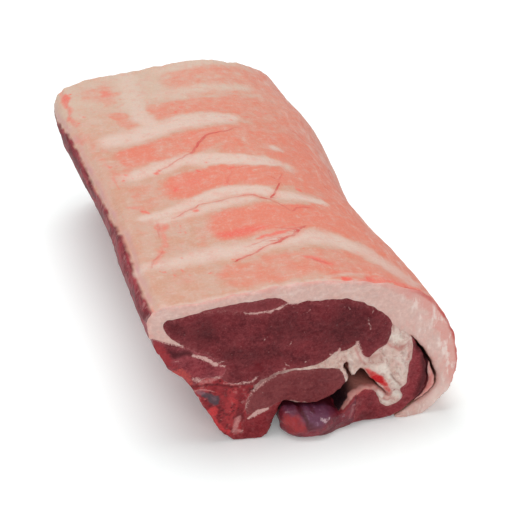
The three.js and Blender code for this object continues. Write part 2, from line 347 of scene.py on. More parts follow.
def toPath(points, path):  # distance from each point to a path, and how far along it from 0 to 1
    path = np.array(path, float)[:, :2]
    best, where, run = np.full(len(points), 1e9), np.zeros(len(points)), 0
    lengths = np.linalg.norm(np.diff(path, axis=0), axis=1)
    for a, b, length in zip(path, path[1:], lengths):
        t = np.clip((points - a) @ (b - a) / max(length**2, 1e-9), 0, 1)
        d = np.linalg.norm(points - a - t[:, None] * (b - a), axis=1)
        where = np.where(d < best, (run + t * length) / lengths.sum(), where)
        best = np.minimum(best, d)
        run += length
    return best, where


def strokes(points, marks):  # marks: (path, width, softness, strength); the strongest at each point
    level = np.zeros(len(points))
    for path, width, soft, strength in marks:
        if len(path) == 1:
            distance, where = np.linalg.norm(points - np.array(path[0]), axis=1), 0.5
        else:
            distance, where = toPath(points, path)
        taper = 0.55 + 0.45 * np.sin(np.pi * np.clip(where, 0.02, 0.98)) ** 0.6
        level = np.maximum(level, strength * (1 - smooth((distance - width / 2 * taper + soft / 2) / soft)))
    return level


# marks on the cut, as paths on the section map: path, width, softness, strength
cutMarks = {
    "white": [
        ([(-42.6, 40.2), (-39, 38.2), (-36.8, 36.7), (-34.3, 35)], 1.5, 0.9, 0.9),
        ([(-35.4, 35.6), (-34, 35.2)], 1.9, 1.1, 0.85), ([(-34.4, 35.2), (-32.2, 36.2)], 0.8, 0.7, 0.7),
        ([(-33.8, 34.8), (-31.4, 33.8), (-31, 34.4)], 0.8, 0.7, 0.6), ([(-46.4, 45.1), (-45.6, 43.5)], 0.7, 0.6, 0.6),
        ([(-49.6, 38.6), (-48, 38.9), (-46.6, 38)], 0.6, 0.7, 0.45),
        ([(-24, 55.6), (-19, 54.9), (-15, 55), (-11.6, 55.8), (-7.6, 57.6)], 0.9, 0.7, 0.75),
        ([(-12.4, 55.4), (-10.6, 56)], 1.1, 0.5, 1.0), ([(-9.2, 59.4), (-7.4, 57.4), (-4, 57.2)], 0.9, 0.6, 0.8),
        ([(-22.8, 9.6), (-20, 11.7), (-16, 13.1)], 1.9, 0.7, 0.9),
        ([(-56, 49), (-52.4, 47.6), (-49, 46), (-46.6, 44.6)], 1.0, 0.7, 0.6),
        ([(-47.3, 46.5), (-45.4, 44)], 0.8, 0.6, 0.55),
        ([(-43, 30), (-40.2, 28), (-36.6, 28), (-33.4, 29.4)], 2.0, 1.5, 0.6),
        ([(-43.6, 23.4), (-41, 24.7), (-38.2, 24.1), (-35.4, 23.4)], 0.55, 0.5, 0.85), ([(-44, 23.2)], 1.5, 0.8, 0.7),
        ([(-41.2, 21.6), (-39.8, 17)], 1.2, 1.0, 0.45),
        ([(-31.8, 26.6), (-28.4, 25.3), (-25.6, 25.6), (-21.8, 26.2), (-20, 27.4)], 1.0, 0.8, 0.65),
        ([(-24.6, 13), (-23.9, 18), (-22, 21.8), (-19, 24.6), (-14, 27.2), (-9.6, 29.8)], 1.5, 0.9, 0.5),
        ([(21, 46.2), (21.8, 42.6)], 0.55, 0.4, 0.55), ([(20.6, 48.4), (21.2, 46.6)], 0.45, 0.4, 0.5),
        ([(22.2, 50), (23, 50.5)], 0.8, 0.5, 0.5), ([(13.8, 53.4), (14.4, 52.6)], 0.7, 0.4, 0.5),
        ([(11.8, 54.2), (12.4, 53.4)], 0.5, 0.4, 0.45), ([(-4, 51.6), (0, 54)], 0.6, 0.6, 0.3),
        ([(-16.6, 44.8), (-18, 43.4)], 0.7, 0.5, 0.45), ([(-6.8, 40.8), (-9.6, 39.8)], 0.7, 0.5, 0.4),
        ([(-8.2, 30.6), (-9.8, 32.6)], 0.6, 0.5, 0.5), ([(-2.5, 32.2), (-1.6, 31.8)], 0.8, 0.5, 0.5),
        ([(16.9, 38), (17.4, 35), (18.4, 31.6)], 1.9, 0.8, 0.6), ([(10.8, 35.6), (10.2, 33.2)], 1.1, 0.6, 0.6),
        ([(7, 33.8), (8.6, 32)], 1.0, 0.6, 0.7), ([(-26.5, 10.4), (-27.1, 7.4), (-28.4, 4.6)], 2.3, 1.5, 0.8),
        ([(-28, 4.4), (-25, 3.8)], 1.8, 1.2, 0.7), ([(-31.6, 3.4), (-30.6, 2.4)], 0.9, 0.7, 0.7),
        ([(-3, 14), (-1, 13.6)], 1.0, 0.6, 0.5), ([(-7.6, 15), (-4.8, 14.2)], 1.5, 0.9, 0.75),
        ([(44.4, 23.6), (44.7, 17), (43.2, 11.4), (41, 7.6)], 1.0, 0.6, 0.75),
        ([(42.2, 30.6), (43.6, 27.6), (45.6, 24)], 0.6, 0.5, 0.3),
        ([(14.6, 5), (15.4, 8.4), (15.4, 10.4)], 0.6, 0.8, 0.4), ([(15.6, 10.8), (16, 11.1)], 0.6, 0.4, 0.8),
    ],
    "blood": [
        ([(20.8, 25.2), (23.2, 22.4), (25.6, 20.2)], 3.0, 2.2, 0.6), ([(23.4, 22), (26, 19.4)], 3.4, 1.9, 1.0),
        ([(25.8, 19.8), (28, 16.8)], 2.4, 1.9, 0.8), ([(28, 16.8), (29.4, 14.2)], 2.2, 2.0, 0.5),
        ([(-19.8, 33.4), (-18.8, 30.6)], 3.4, 3.4, 0.85), ([(-22.2, 31), (-20, 30)], 2.2, 2.2, 0.5),
        ([(-22, 36), (-20, 33)], 1.4, 2, 0.4), ([(-44.8, 28.8), (-43.6, 26.8), (-43, 25)], 2.2, 1.6, 0.9),
        ([(-38, 25.2), (-34, 24.6), (-31.2, 22.4)], 2.0, 1.6, 0.7),
        ([(-38.4, 17), (-36, 12), (-33.6, 7), (-31.4, 3.6)], 2.6, 2.0, 0.8),
        ([(-24, 23), (-22.2, 23.6)], 2.0, 1.4, 0.5), ([(-55.6, 47.2), (-53, 41.6), (-51.4, 38)], 5.2, 3.8, 0.9),
        ([(-50.6, 36.4), (-48.6, 36.6)], 2.4, 2.4, 0.6), ([(14.4, 38.2), (15.6, 37)], 1.4, 1.2, 0.7),
        ([(10.4, 38), (12, 36)], 2, 2, 0.4), ([(45.8, 18.8), (45, 13.8), (43.4, 11)], 1.5, 1.0, 0.7),
        ([(17.4, 14.4), (20, 15), (22.6, 14.2)], 3.2, 3.2, 0.6),
    ],
    # shade: painted shade in creases and gaps, darker patches of meat, and the bone's dark red lines and pits
    "shade": [
        ([(-38, 49)], 8.0, 8.0, 0.55), ([(-30, 40), (-22, 37.6), (-12, 37)], 6, 7, 0.35),
        ([(-49.5, 53.6), (-46, 51.4)], 5.0, 4.5, 0.35), ([(8, 44), (18, 46)], 16.0, 14.0, 0.45),
        ([(-14, 48), (-4, 46)], 9.0, 10.0, 0.35),
        ([(-50.8, 43.6), (-48.4, 41.4), (-45.4, 41.6), (-43, 41)], 2.2, 2.2, 0.8),
        ([(-51.5, 46.2), (-47.6, 44.8)], 1.8, 1.8, 0.5), ([(-51.9, 38.4), (-51, 37.4)], 1.1, 1.0, 0.7),
        ([(-49.6, 35.6), (-48.4, 36)], 0.9, 0.9, 0.6), ([(-43.3, 26.7), (-42.6, 26.3)], 0.9, 0.7, 0.9),
        ([(42, 27.6), (43.2, 21), (42.6, 15), (40.4, 10)], 2.8, 2.6, 0.85), ([(39, 33), (41.6, 29)], 1.8, 1.6, 0.8),
        ([(20, 4), (24, 3.4)], 4.0, 3.4, 0.5), ([(-24.4, 22.6), (-22.6, 23.4)], 1.4, 1.2, 0.5),
        ([(-41.8, 26.3), (-38, 26.4), (-34, 26.3), (-29, 24.6), (-26.8, 24.4)], 0.9, 0.8, 0.9),
        ([(-23.4, 21.3), (-21, 23.6)], 1.3, 0.8, 1.0), ([(-26.8, 13.6), (-25.4, 9.6)], 2.4, 1.8, 0.75),
        ([(-31.6, 22.6), (-31, 19)], 1.2, 1.4, 0.6), ([(26.4, 18.6), (27.8, 16.6)], 0.5, 0.4, 0.6),
        ([(-5.6, 13), (-4, 11.6), (-2.6, 8.9), (-2, 5.4)], 1.3, 1.1, 0.95),
        ([(-2, 5.4), (0, 6.2), (2.5, 6)], 0.9, 1.0, 0.6), ([(-1.2, 7.4)], 2.0, 1.6, 0.75),
        ([(-0.1, 11.2)], 1.3, 0.9, 0.8), ([(-9.2, 5.6), (-7.6, 4.4)], 1.6, 1.8, 0.5),
        ([(-5.8, 4), (-4.6, 3)], 1.2, 1.4, 0.5), ([(10.5, 9), (12.4, 12)], 1.2, 1.0, 0.5),
        ([(-14.6, 4.6), (-13, 8)], 1.6, 1.6, 0.5), ([(28, 33.2), (33, 33.6)], 0.5, 0.5, 0.3),
    ],
    "glint": [
        ([(3.0, 8.8), (4.2, 7.6), (6, 8.3)], 1.9, 1.3, 0.85), ([(4.2, 6.6)], 0.9, 0.8, 0.5),
        ([(-3, 12.5), (-2.2, 10.6), (-1.2, 10.7), (-0.6, 11.8)], 0.5, 0.6, 0.6),
        ([(-9.8, 11.6), (-8.4, 12)], 1.1, 1.0, 0.6), ([(-9.6, 9), (-9, 8.6)], 0.5, 0.5, 0.5),
        ([(9.6, 6), (9, 4)], 1.2, 1.4, 0.4), ([(11, 4.2), (12.4, 7.4)], 0.8, 1.0, 0.45),
    ],
    "bright": [
        ([(-36.4, 14.9)], 4.2, 1.6, 1.0), ([(-36.6, 13.4), (-34.4, 9), (-31.6, 5)], 2.0, 1.4, 0.9),
        ([(-30.6, 5), (-29.8, 4.2)], 2.0, 1.4, 0.9), ([(-31, 20), (-28.6, 18.6), (-27.4, 15.6)], 3.4, 2.8, 0.6),
        ([(-49.6, 34.6), (-47.2, 33.4), (-44.6, 31.2)], 3.6, 2.2, 1.0),
        ([(-46, 31.6), (-44.4, 29.6), (-43.4, 27.6)], 2.2, 1.8, 0.85),
        ([(-54.4, 45.4), (-53.4, 42.8)], 1.6, 1.8, 0.5),
    ],
    "lilac": [
        ([(-41.2, 23.7), (-39.2, 23.2)], 1.7, 1.2, 1.0), ([(-36.2, 21.4), (-35.2, 20)], 1.6, 1.4, 0.5),
    ],
    "cord": [
        ([(-39.2, 22.3), (-35.2, 20.9)], 2.9, 0.7, 1.0), ([(-35.4, 20.6), (-35, 18.4)], 3.2, 0.8, 1.0),
        ([(-37.2, 21.2), (-35.8, 18.8)], 3.0, 0.8, 1.0),
    ],
    "purple": [
        ([(-2.6, 10.8), (1.4, 9.8), (4.6, 10.4)], 8.0, 3.4, 1.0), ([(-9.6, 12.4), (-6, 13)], 2.8, 2.2, 0.8),
        ([(4, 12), (9, 10.4)], 4, 3, 0.8),
    ],
    "orange": [
        ([(-6.7, 7.3)], 8.8, 3.8, 1.0),
    ],
    "ridge": [
        ([(22.6, 26.4), (26.6, 25.3), (28.6, 22.2), (31, 18.4), (33.2, 15)], 2.3, 1.5, 0.9),
        ([(26.6, 25.4)], 3.6, 2.4, 1.0), ([(29.4, 38.2), (33, 36.8)], 3.6, 2.6, 0.8),
        ([(13.8, 33.2), (14.4, 29.4), (14.8, 24.2)], 1.8, 1.4, 0.6), ([(26, 14.2), (27.4, 11.8)], 2.3, 1.3, 0.9),
        ([(27.8, 9.4), (30, 8.2)], 2.1, 1.3, 0.9), ([(31.4, 12.8), (33.8, 11.4)], 2.5, 1.3, 0.9),
        ([(33, 27), (33.6, 21)], 2.4, 2.2, 0.5),
    ],
    "pinkLine": [
        ([(28.2, 35.2), (30.2, 33.8), (32.4, 32.6), (34.6, 33.2), (36.4, 35)], 1.2, 1.2, 0.85),
        ([(37.3, 33.4), (37, 30.2), (36.2, 27.4)], 1.6, 1.4, 0.65),
        ([(19, 31.8), (22.2, 30.6), (24.6, 31.6)], 1.1, 1.2, 0.5),
        ([(16, 35.4), (17.2, 32.4), (18.2, 30), (19.8, 28)], 0.9, 0.9, 0.8),
        ([(27.6, 10.8), (29.6, 9.6), (31.4, 10.2)], 0.9, 0.8, 0.85),
        ([(27.8, 13.6), (29.8, 12.4), (30.4, 13.8)], 1.0, 0.9, 0.95), ([(12.6, 31), (13.2, 27)], 0.6, 0.7, 0.4),
        ([(31, 27.6), (33.6, 25)], 1.4, 1.8, 0.4), ([(-8, 30), (-2, 30.6)], 1.2, 1.2, 0.4),
    ],
    # crease: painted shade along creases in the seam fat
    "crease": [
        ([(29.6, 22), (31.6, 19), (33.6, 16.8)], 0.7, 0.8, 0.9), ([(33.2, 31), (34.4, 30.8)], 1.1, 0.8, 0.6),
        ([(31.2, 14.6)], 1.1, 0.7, 1.0), ([(18.8, 28.4), (21.2, 28.8), (24, 31.4)], 3.2, 3.0, 0.32),
        ([(17, 29.4)], 2.2, 1.8, 0.5), ([(22.6, 28.4)], 1.2, 1.0, 0.4),
    ],
}
bonePits = [
    (-32.8, 15), (-34.4, 14.4), (-32.2, 13.4), (-30.8, 12.3), (-34, 16.4), (-32.3, 11.4), (-28, 10), (-30.5, 7.1),
    (-32.4, 4.2), (-37.6, 18), (-29, 13.6), (-33.4, 9.8), (-28.6, 16.4), (-26.4, 18.6),
]  # small dark spots in the sawn bone
cutMarks["shade"] += [([spot], 1.2, 0.8, 0.8) for spot in bonePits]


def inside(points, loop):
    x, z = points.T
    hit = np.zeros(len(points), bool)
    for (ax, az), (bx, bz) in zip(loop, np.roll(loop, -1, 0)):
        cross = (az > z) != (bz > z)
        with np.errstate(divide="ignore", invalid="ignore"):
            hit ^= cross & (x < (bx - ax) * (z - az) / (bz - az) + ax)
    return hit


def fillPoints(loop, step, seed):  # an even spread of points inside the outline, a little off a regular grid
    low, high = loop.min(0), loop.max(0)
    xs, zs = np.arange(low[0], high[0], step), np.arange(low[1], high[1], step * 0.87)
    grid = np.stack(np.meshgrid(xs, zs), -1)
    grid[1::2, :, 0] += step / 2
    grid = grid.reshape(-1, 2)
    shake = np.random.default_rng(seed).uniform(-0.16, 0.16, grid.shape) * step
    grid = (grid + shake)[inside(grid, loop)]
    far = nearestTo(grid, loop) > step * 0.45
    return grid[far & inside(grid, loop)]  # a few were moved across the outline


def nearestTo(points, others):  # distance to the nearest of the others
    if not len(others):
        return np.full(len(points), 99.0)
    if not len(points):
        return np.zeros(0)
    return np.concatenate([np.sqrt(((part[:, None] - others[None]) ** 2).sum(-1).min(1))
                           for part in np.array_split(points, max(1, len(points) // 400))])


def capFaces(loop, extra):  # triangles over the outline with the extra points in it
    points = [tuple(p) for p in np.vstack([loop, extra])]
    made = geometry.delaunay_2d_cdt(points, [], [list(range(len(loop)))], 1, 1e-6)
    index = [origins[0] if origins else -1 for origins in made[3]]
    return [tuple(index[i] for i in face) for face in made[2] if all(index[i] >= 0 for i in face)]


def stationsFor(step, fineStep=0.35):  # shares of the length: close together near both cuts
    ends, place, gap = [0.0], 0.0, fineStep
    while place < 8 and gap < step:
        place += gap
        ends.append(place)
        gap = min(step, gap * 1.35)
    ends = np.array(ends) / loin["length"]
    middle = np.linspace(ends[-1], 1 - ends[-1], max(3, round(loin["length"] * (1 - 2 * ends[-1]) / step)) + 1)
    return np.concatenate([ends[:-1], middle, 1 - ends[:-1][::-1]])


def cutRelief(points, edge, openEdge, piece):  # how far the cut surface stands out, in mm
    swell = piece["proud"] * (1 - np.exp(-edge / 1.6))
    grain = piece["grain"] * scatter(points, piece["grainSize"], 11, 2) * (1 - np.exp(-edge / 0.5))
    waves = 0.8 * scatter(points, 15, 12) + 0.3 * scatter(points, 5.5, 13, 2)
    rounding = -piece.get("rounding", 0.75) * np.exp(-openEdge / 0.42)
    for line, height, reach in piece.get("rises", ()):
        rounding = rounding + height * np.exp(-nearestTo(points, along(line, 0.4)) / reach)
    return swell + grain + waves + rounding


def normals(grid):
    across = np.roll(grid, -1, 1) - np.roll(grid, 1, 1)
    n = np.cross(across, np.gradient(grid, axis=0))
    return n / np.maximum(np.linalg.norm(n, axis=-1, keepdims=True), 1e-9)


def roughen(grid, waves):  # waves: height, size, seed and octaves of the noise on a piece's sides
    spot = grid.reshape(-1, 3)
    return sum(height * scatter(spot, *how) for height, *how in waves).reshape(grid.shape[:2])


def standOut(points, end):  # how much of the rounded end stands out of the cut at each point
    return 1 - end["lean"] * smooth((points[:, 0] - 3) / 10)


def leadRings(loop, forward, end):  # the outlines of a rounded end, and how far out of the cut each lies
    hold = smooth(nearestTo(loop, along("rollFlap", 0.4)) / 6)[:, None]
    lead = []
    for angle in np.radians(np.linspace(90 * end["reach"], 0, end["rings"], endpoint=False)):
        size = 1 - end["shrink"] * (1 - math.cos(angle)) * standOut(loop, end)[:, None] * hold
        small = end["middle"] + size * (loop - end["middle"])
        lead.append((small, forward + end["out"] * math.sin(angle) * standOut(small, end)))
    return lead


def addMask(mesh, name, values):
    mesh.attributes.new(name, "FLOAT", "POINT").data.foreach_set("value", np.ascontiguousarray(values, np.float32))


def addCutMasks(mesh, piece, where, cut, rim, hidden):  # hidden: points on the sides that lie inside an opening
    fromCut = np.minimum(where[:, 2], 1 - where[:, 2]) * loin["length"]
    inward = smooth((fromCut - 0.1) / 1.6)
    inward[: len(hidden)] *= hidden
    addMask(mesh, "cut", cut)
    addMask(mesh, "rim", np.clip(rim / 4, 0, 1))
    # inward and deep: painted shade on the sides inside openings, darker further from the cut
    addMask(mesh, "inward", inward * (1 - cut))
    addMask(mesh, "deep", inward * (1 - cut) * smooth((fromCut - 2) / 9))
    ends = np.maximum(cut, smooth(1 - fromCut / 4))
    flat = where[:, :2]
    wobble = flat + np.stack([scatter(flat, 3, 21, 2), scatter(flat, 3, 22, 2)], 1) * 0.45
    for mark in piece["marks"]:
        addMask(mesh, mark, strokes(wobble, cutMarks[mark]) * (0.25 + 0.75 * ends))


def sharpen(mesh, met):  # edges where two pieces meet on a cut stay sharp; met: 0, or the number of the cut
    ends = np.zeros(2 * len(mesh.edges), np.int32)
    mesh.edges.foreach_get("vertices", ends)
    ends = met[ends.reshape(-1, 2)]
    mesh.edges.foreach_set("use_edge_sharp", (ends[:, 0] > 0) & (ends[:, 0] == ends[:, 1]))


def makePiece(name, piece, sideRelief, masks=None, rollEnd=None):
    plain, tags = outline(piece["round"], piece["step"])
    loop = ragged(plain, 0)
    openPoints = loop[[tag in openLines for tag in tags]]
    openEdge = nearestTo(loop, openPoints)
    forward = cutRelief(loop, np.zeros(len(loop)), openEdge, piece)
    share = stationsFor(piece["stationStep"])
    lead = leadRings(loop, forward, rollEnd) if rollEnd else []
    frontLoop = lead[0][0] if lead else loop
    # the sides: a grid of rings, and what each point of it is on the section map and along the length
    grid = np.stack([placed(ring, 0.0, out) for ring, out in lead]
                    + [placed(ragged(plain, t), t, forward * (1 - t) ** 12) for t in share])
    sides = np.stack([np.column_stack([ring, np.full(len(loop), t)])
                      for ring, t in [*((ring, 0.0) for ring, _ in lead), *((loop, t) for t in share)]])
    relief = sideRelief(grid, sides, tags)
    for centre, height, reach in piece.get("bulges", ()):
        relief = relief + height * smooth(1 - np.linalg.norm(sides[..., :2] - centre, axis=-1) / reach)
    grid = grid + normals(grid) * relief[..., None]
    # the two cuts
    front, back = fillPoints(frontLoop, piece["capStep"], 1), fillPoints(loop, 1.1, 2)
    frontEdge, backEdge = nearestTo(front, frontLoop), nearestTo(back, loop)
    frontOut = cutRelief(front, frontEdge, nearestTo(front, openPoints), piece)
    if rollEnd:
        top = rollEnd["out"] * math.sin(math.radians(90 * rollEnd["reach"]))
        frontOut = frontOut + top * standOut(front, rollEnd) + rollEnd["dome"] * smooth(frontEdge / 5)
    backPlaced = placed(back, 1.0)
    backPlaced[:, 1] += cutRelief(back, backEdge, nearestTo(back, openPoints), piece) * 0.6
    points = np.vstack([grid.reshape(-1, 3), placed(front, 0.0, frontOut), backPlaced])
    points[:, 2] = np.maximum(points[:, 2], 0.0)
    # faces
    count, size = grid.shape[:2]
    total = count * size
    a, turn = np.arange(total - size), np.arange(total - size) // size * size
    b = turn + (a - turn + 1) % size
    sideFaces = np.stack([a, a + size, b + size, b], 1)
    pick = lambda tri, first, extra: [first + i if i < size else extra + i - size for i in tri]
    frontFaces = [pick(tri, 0, total) for tri in capFaces(frontLoop, front)]
    backFaces = [pick(tri, total - size, total + len(front))[::-1] for tri in capFaces(loop, back)]
    mesh = bpy.data.meshes.new(name)
    mesh.from_pydata((points / 1000).tolist(), [], sideFaces.tolist() + frontFaces + backFaces)
    mesh.validate()
    mesh.polygons.foreach_set("use_smooth", np.ones(len(mesh.polygons), bool))
    met = np.zeros(len(points), int)
    met[total - size:total] = 2 * (openEdge > 0.5)
    if not rollEnd:
        met[:size] = openEdge > 0.5
    sharpen(mesh, met)
    made = bpy.data.objects.new(name, mesh)
    scene.collection.objects.link(made)
    # what every mask is worked out from: place on the section map, share of the length, and how near to a cut
    capCount = len(front) + len(back)
    where = np.vstack([sides.reshape(-1, 3), np.column_stack([front, np.zeros(len(front))]),
                       np.column_stack([back, np.ones(len(back))])])
    ringCut = np.zeros((count, size))
    ringCut[: rollEnd["rings"] + 1 if rollEnd else 1] = ringCut[-1] = 1
    addCutMasks(mesh, piece, where, np.concatenate([ringCut.ravel(), np.ones(capCount)]),
                np.concatenate([np.zeros(total), frontEdge, backEdge]),
                np.tile([tag in shadedLines for tag in tags], count))
    if masks:
        allTags = np.concatenate([np.tile(tags, count), ["cap"] * capCount])
        for key, values in masks(points, where, allTags).items():
            addMask(mesh, key, values)
    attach(made, "root")
    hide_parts(name)
    print(name, len(mesh.vertices), "points", sum(len(p.vertices) - 2 for p in mesh.polygons), "triangles")
    return made


# the fat over the back, whose skin is banded cream and salmon
fatCover = {
    "round": ["backFat", "tailUnder", "tailInside", "fatOnFat", "eyeTop", "stripTop", "eyeBackEnd", "fatFoot"],
    "step": 0.7, "stationStep": 1.15, "capStep": 0.6, "proud": 0.0, "grain": 0.10, "grainSize": 2.2, "rounding": 0.9,
    "slot": "fat", "marks": (), "cream": (0.60, 0.37, 0.283), "warm": (0.59, 0.318, 0.222),
    "pale": (0.695, 0.515, 0.44), "grey": (0.62, 0.48, 0.38), "rosy": (0.66, 0.30, 0.24),
    "salmon": (0.71, 0.206, 0.136), "creaseSalmon": (0.71 * 0.85, 0.206 * 0.8, 0.136 * 0.9),
    "hot": (0.78, 0.125, 0.09), "flank": (0.68, 0.33, 0.275), "vein": (0.60, 0.095, 0.078),
    "wall": (0.33, 0.030, 0.045), "cutFat": (0.71, 0.455, 0.40), "cutGrey": (0.63, 0.40, 0.355),
    "slitPink": (0.42, 0.13, 0.11), "edgeLine": (0.58, 0.31, 0.295), "cutPink": (0.70, 0.275, 0.235),
    # inside: the colour of the painted shade inside the slit and openings
    "rind": (0.55, 0.07, 0.06), "inside": (0.30, 0.105, 0.085), "cutWhite": (0.80, 0.62, 0.57),
    "wallStart": [(-95, -55.3), (-70, -55), (-50, -54.6), (-37, -54.4), (-22, -56.8),
                  (8, -57.2), (30, -55.8), (50, -56.6), (75, -60.8), (94, -62)],
}
# patches where the meat shows through, as across, along, half width, half length, turn in degrees, strength;
# across is measured over the skin in mm from the highest point, along is Y on the section map
skinPatches = [
    (-10, -82, 20, 10.5, 0, 0.57), (14, -82, 16, 11, 0, 0.52), (-8, -47, 17, 11.5, 0, 0.85),
    (14, -49, 16, 9, -8, 0.8), (-14, -12, 22, 10, 4, 0.85), (10, -16, 18, 11, -6, 0.75), (-19, 17.5, 28, 10, 7, 0.66),
    (-36, 16, 9, 8, 7, 0.78), (-41, -14, 7, 11, 0, 0.36), (-40, 10, 6, 8, 0, 0.4), (12, 12, 18, 18, 0, 0.6),
    (-8, 49, 19, 9, 0, 0.6), (14, 44, 16, 14, 0, 0.6), (-34, 48, 4, 10, 28, 0.55), (-38, 75, 9, 8, 0, 0.4),
    (-36, 74, 2.6, 11, 0, 0.5), (30, -4, 18, 30, 0, 0.75), (34, 32, 20, 30, 0, 0.54), (30, -50, 15, 16, -20, 0.75),
    (44, -40, 14, 60, 0, 0.7), (48, 50, 22, 50, 0, 0.5), (-27, -52, 3, 7, 0, 0.35), (24, -88, 24, 8, 0, 0.6),
    (16, 74, 30, 18, 0, 0.55), (66, -30, 14, 70, 0, 0.55), (58, -84, 13, 16, 0, 0.85),
]
creamBands = [  # paths across the skin that stay cream: path, width, softness, strength
    ([(-52, -64), (-30, -64), (-8, -65), (10, -63), (22, -66), (30, -74), (37, -84), (42, -90)], 9.5, 6, 1.0),
    ([(-46, -30), (-36, -29), (-22, -24.5), (-10, -23.5), (0, -28), (10, -33), (20, -36), (28, -38)], 6.5, 3, 1.0),
    ([(-40, -34), (-30, -32.5), (-18, -31), (-4, -32)], 6, 4, 0.9),
    ([(-44, 2), (-34, 3), (-20, 6), (-8, 1), (4, -4.5), (18, -7)], 8.5, 4, 1.0), ([(22, -10)], 9, 7, 0.7),
    ([(-44, 32), (-30, 33), (-14, 36), (0, 35), (8, 33)], 12, 6, 1.0),
    ([(-26, 92), (-27, 70), (-27, 50), (-25, 40)], 9, 5, 0.95), ([(-51.5, -92)], 4, 2.6, 1.0),
    ([(24, 66), (6, 66), (-16, 64)], 9, 7, 0.7), ([(20, 92), (-10, 90)], 8, 6, 0.7),
    ([(24.4, -70.6), (27.4, -73)], 1.4, 0.9, 0.9), ([(28.4, -73.6), (31.4, -77)], 1.3, 0.9, 0.8),
    ([(17, 7), (24, 5)], 4.5, 4, 0.8), ([(3, -94.2), (14, -91.6), (24, -90.4)], 1.5, 1.2, 0.6),
]
plainBands = [  # the border above the wall, with little salmon
    ([(-50, -86), (-48, -60), (-45, -34)], 15, 8, 0.9), ([(-52, -30), (-50, 0)], 8, 6, 0.8),
]
hotMarks = [  # red flushes and stains, in the same form
    ([(-55.4, -86), (-55.2, -91), (-53.4, -95)], 1.5, 1.3, 0.75),
    ([(-20.5, -52.7), (-15.7, -53.9), (-10.5, -52.7), (-5.2, -53.9)], 5.6, 5.6, 0.8),
    ([(-18.4, -54), (-16, -54.4)], 3, 3, 0.9), ([(-9.4, -52.4), (-5.4, -54)], 3, 3.4, 0.85),
    ([(5.2, -78.2), (8.2, -80.7), (11.7, -84.2)], 3.8, 3.4, 0.9), ([(13.6, -94.6), (15.8, -94)], 3.4, 2.2, 1.0),
    ([(22, -93.6), (24.4, -93.2)], 3.2, 2.2, 0.95),
    ([(10, -90), (20, -90.4), (32, -92.4), (42, -94.4)], 2.2, 2.4, 0.55),
    ([(34, -96.6), (45, -97.2), (60, -98), (76, -98.6)], 1.8, 1.2, 1.0),
    ([(-8, -60.2), (-5.7, -59.6), (0, -58.4), (7.7, -57.2)], 2.2, 1.8, 0.85),
    ([(1.5, -55.2), (6, -55.2), (11, -56.1)], 1.5, 1.4, 0.65), ([(12.4, -20.4), (14, -22)], 3.2, 2.6, 0.5),
    ([(18, -27.8), (20, -29.6)], 2.2, 1.6, 0.8), ([(26, -30.4), (32, -35)], 1.8, 1.6, 0.6),
    ([(13, -44), (18, -44.5), (22, -44.6)], 1.6, 1.4, 0.55),
    ([(-40.4, -35.8), (-38.4, -36.6), (-39, -42.6)], 3.6, 3.2, 0.6), ([(-41, -35.4), (-41.2, -39.4)], 1.4, 1.4, 0.75),
    ([(-39.4, -43), (-41.5, -48.2), (-43.7, -56.1), (-46, -59.5), (-49, -64.7)], 2.2, 2.2, 0.55),
    ([(-52.4, 81), (-53.4, 71)], 4.4, 2.6, 0.85), ([(-37.4, 78), (-35.4, 73)], 4.4, 3.6, 0.6),
    ([(-48.6, -20.6), (-45.8, -22.4)], 3, 3, 0.6), ([(-44.4, -24.6), (-43, -26)], 1.8, 1.6, 0.65),
    ([(-48.2, 6.7), (-48.9, 1), (-48.5, -5.3)], 1.5, 1.4, 0.6), ([(-54, 44), (-52.7, 34.8)], 3.0, 2.6, 0.55),
    ([(-47, 26), (-44.6, 23.6)], 4, 3.6, 0.45), ([(-29.4, -15.8), (-28.2, -14.6)], 2.2, 2.0, 0.8),
    ([(-46, -8), (-44, -14)], 5, 5, 0.3), ([(-28.4, -56.4), (-26.4, -58)], 4, 4, 0.25),
    ([(-31, -12), (-22, -11), (-13, -9)], 8, 9, 0.4), ([(16, -96), (30, -94.5), (44, -95.5)], 3.4, 3.2, 0.8),
    ([(22, -88), (34, -90)], 6, 6, 0.3), ([(-54, 88), (-52.5, 70), (-53, 50)], 3.4, 3, 0.6),
    ([(-52, 58), (-50, 20), (-48, 0)], 4, 5, 0.35), ([(20, -36), (26, -25)], 6, 8, 0.25),
    ([(48, -96), (60, -92)], 4, 4, 0.6), ([(-29, -14.5)], 2.6, 1.6, 0.9),
    ([(-25.4, -32.4), (-24.6, -30.6)], 2.4, 1.6, 0.7), ([(-43.4, -26)], 2.4, 1.8, 0.8), ([(-46, -21)], 3, 2.4, 0.5),
    ([(-8.8, -15), (-9.8, -20)], 1.6, 1.6, 0.6), ([(-5.6, -8)], 2, 1.6, 0.6), ([(12, -42), (19, -43)], 3, 3, 0.5),
    ([(-48, 6), (-44, 3)], 3.6, 3.6, 0.45), ([(-47, -20), (-44, -24)], 4.5, 4, 0.4),
]
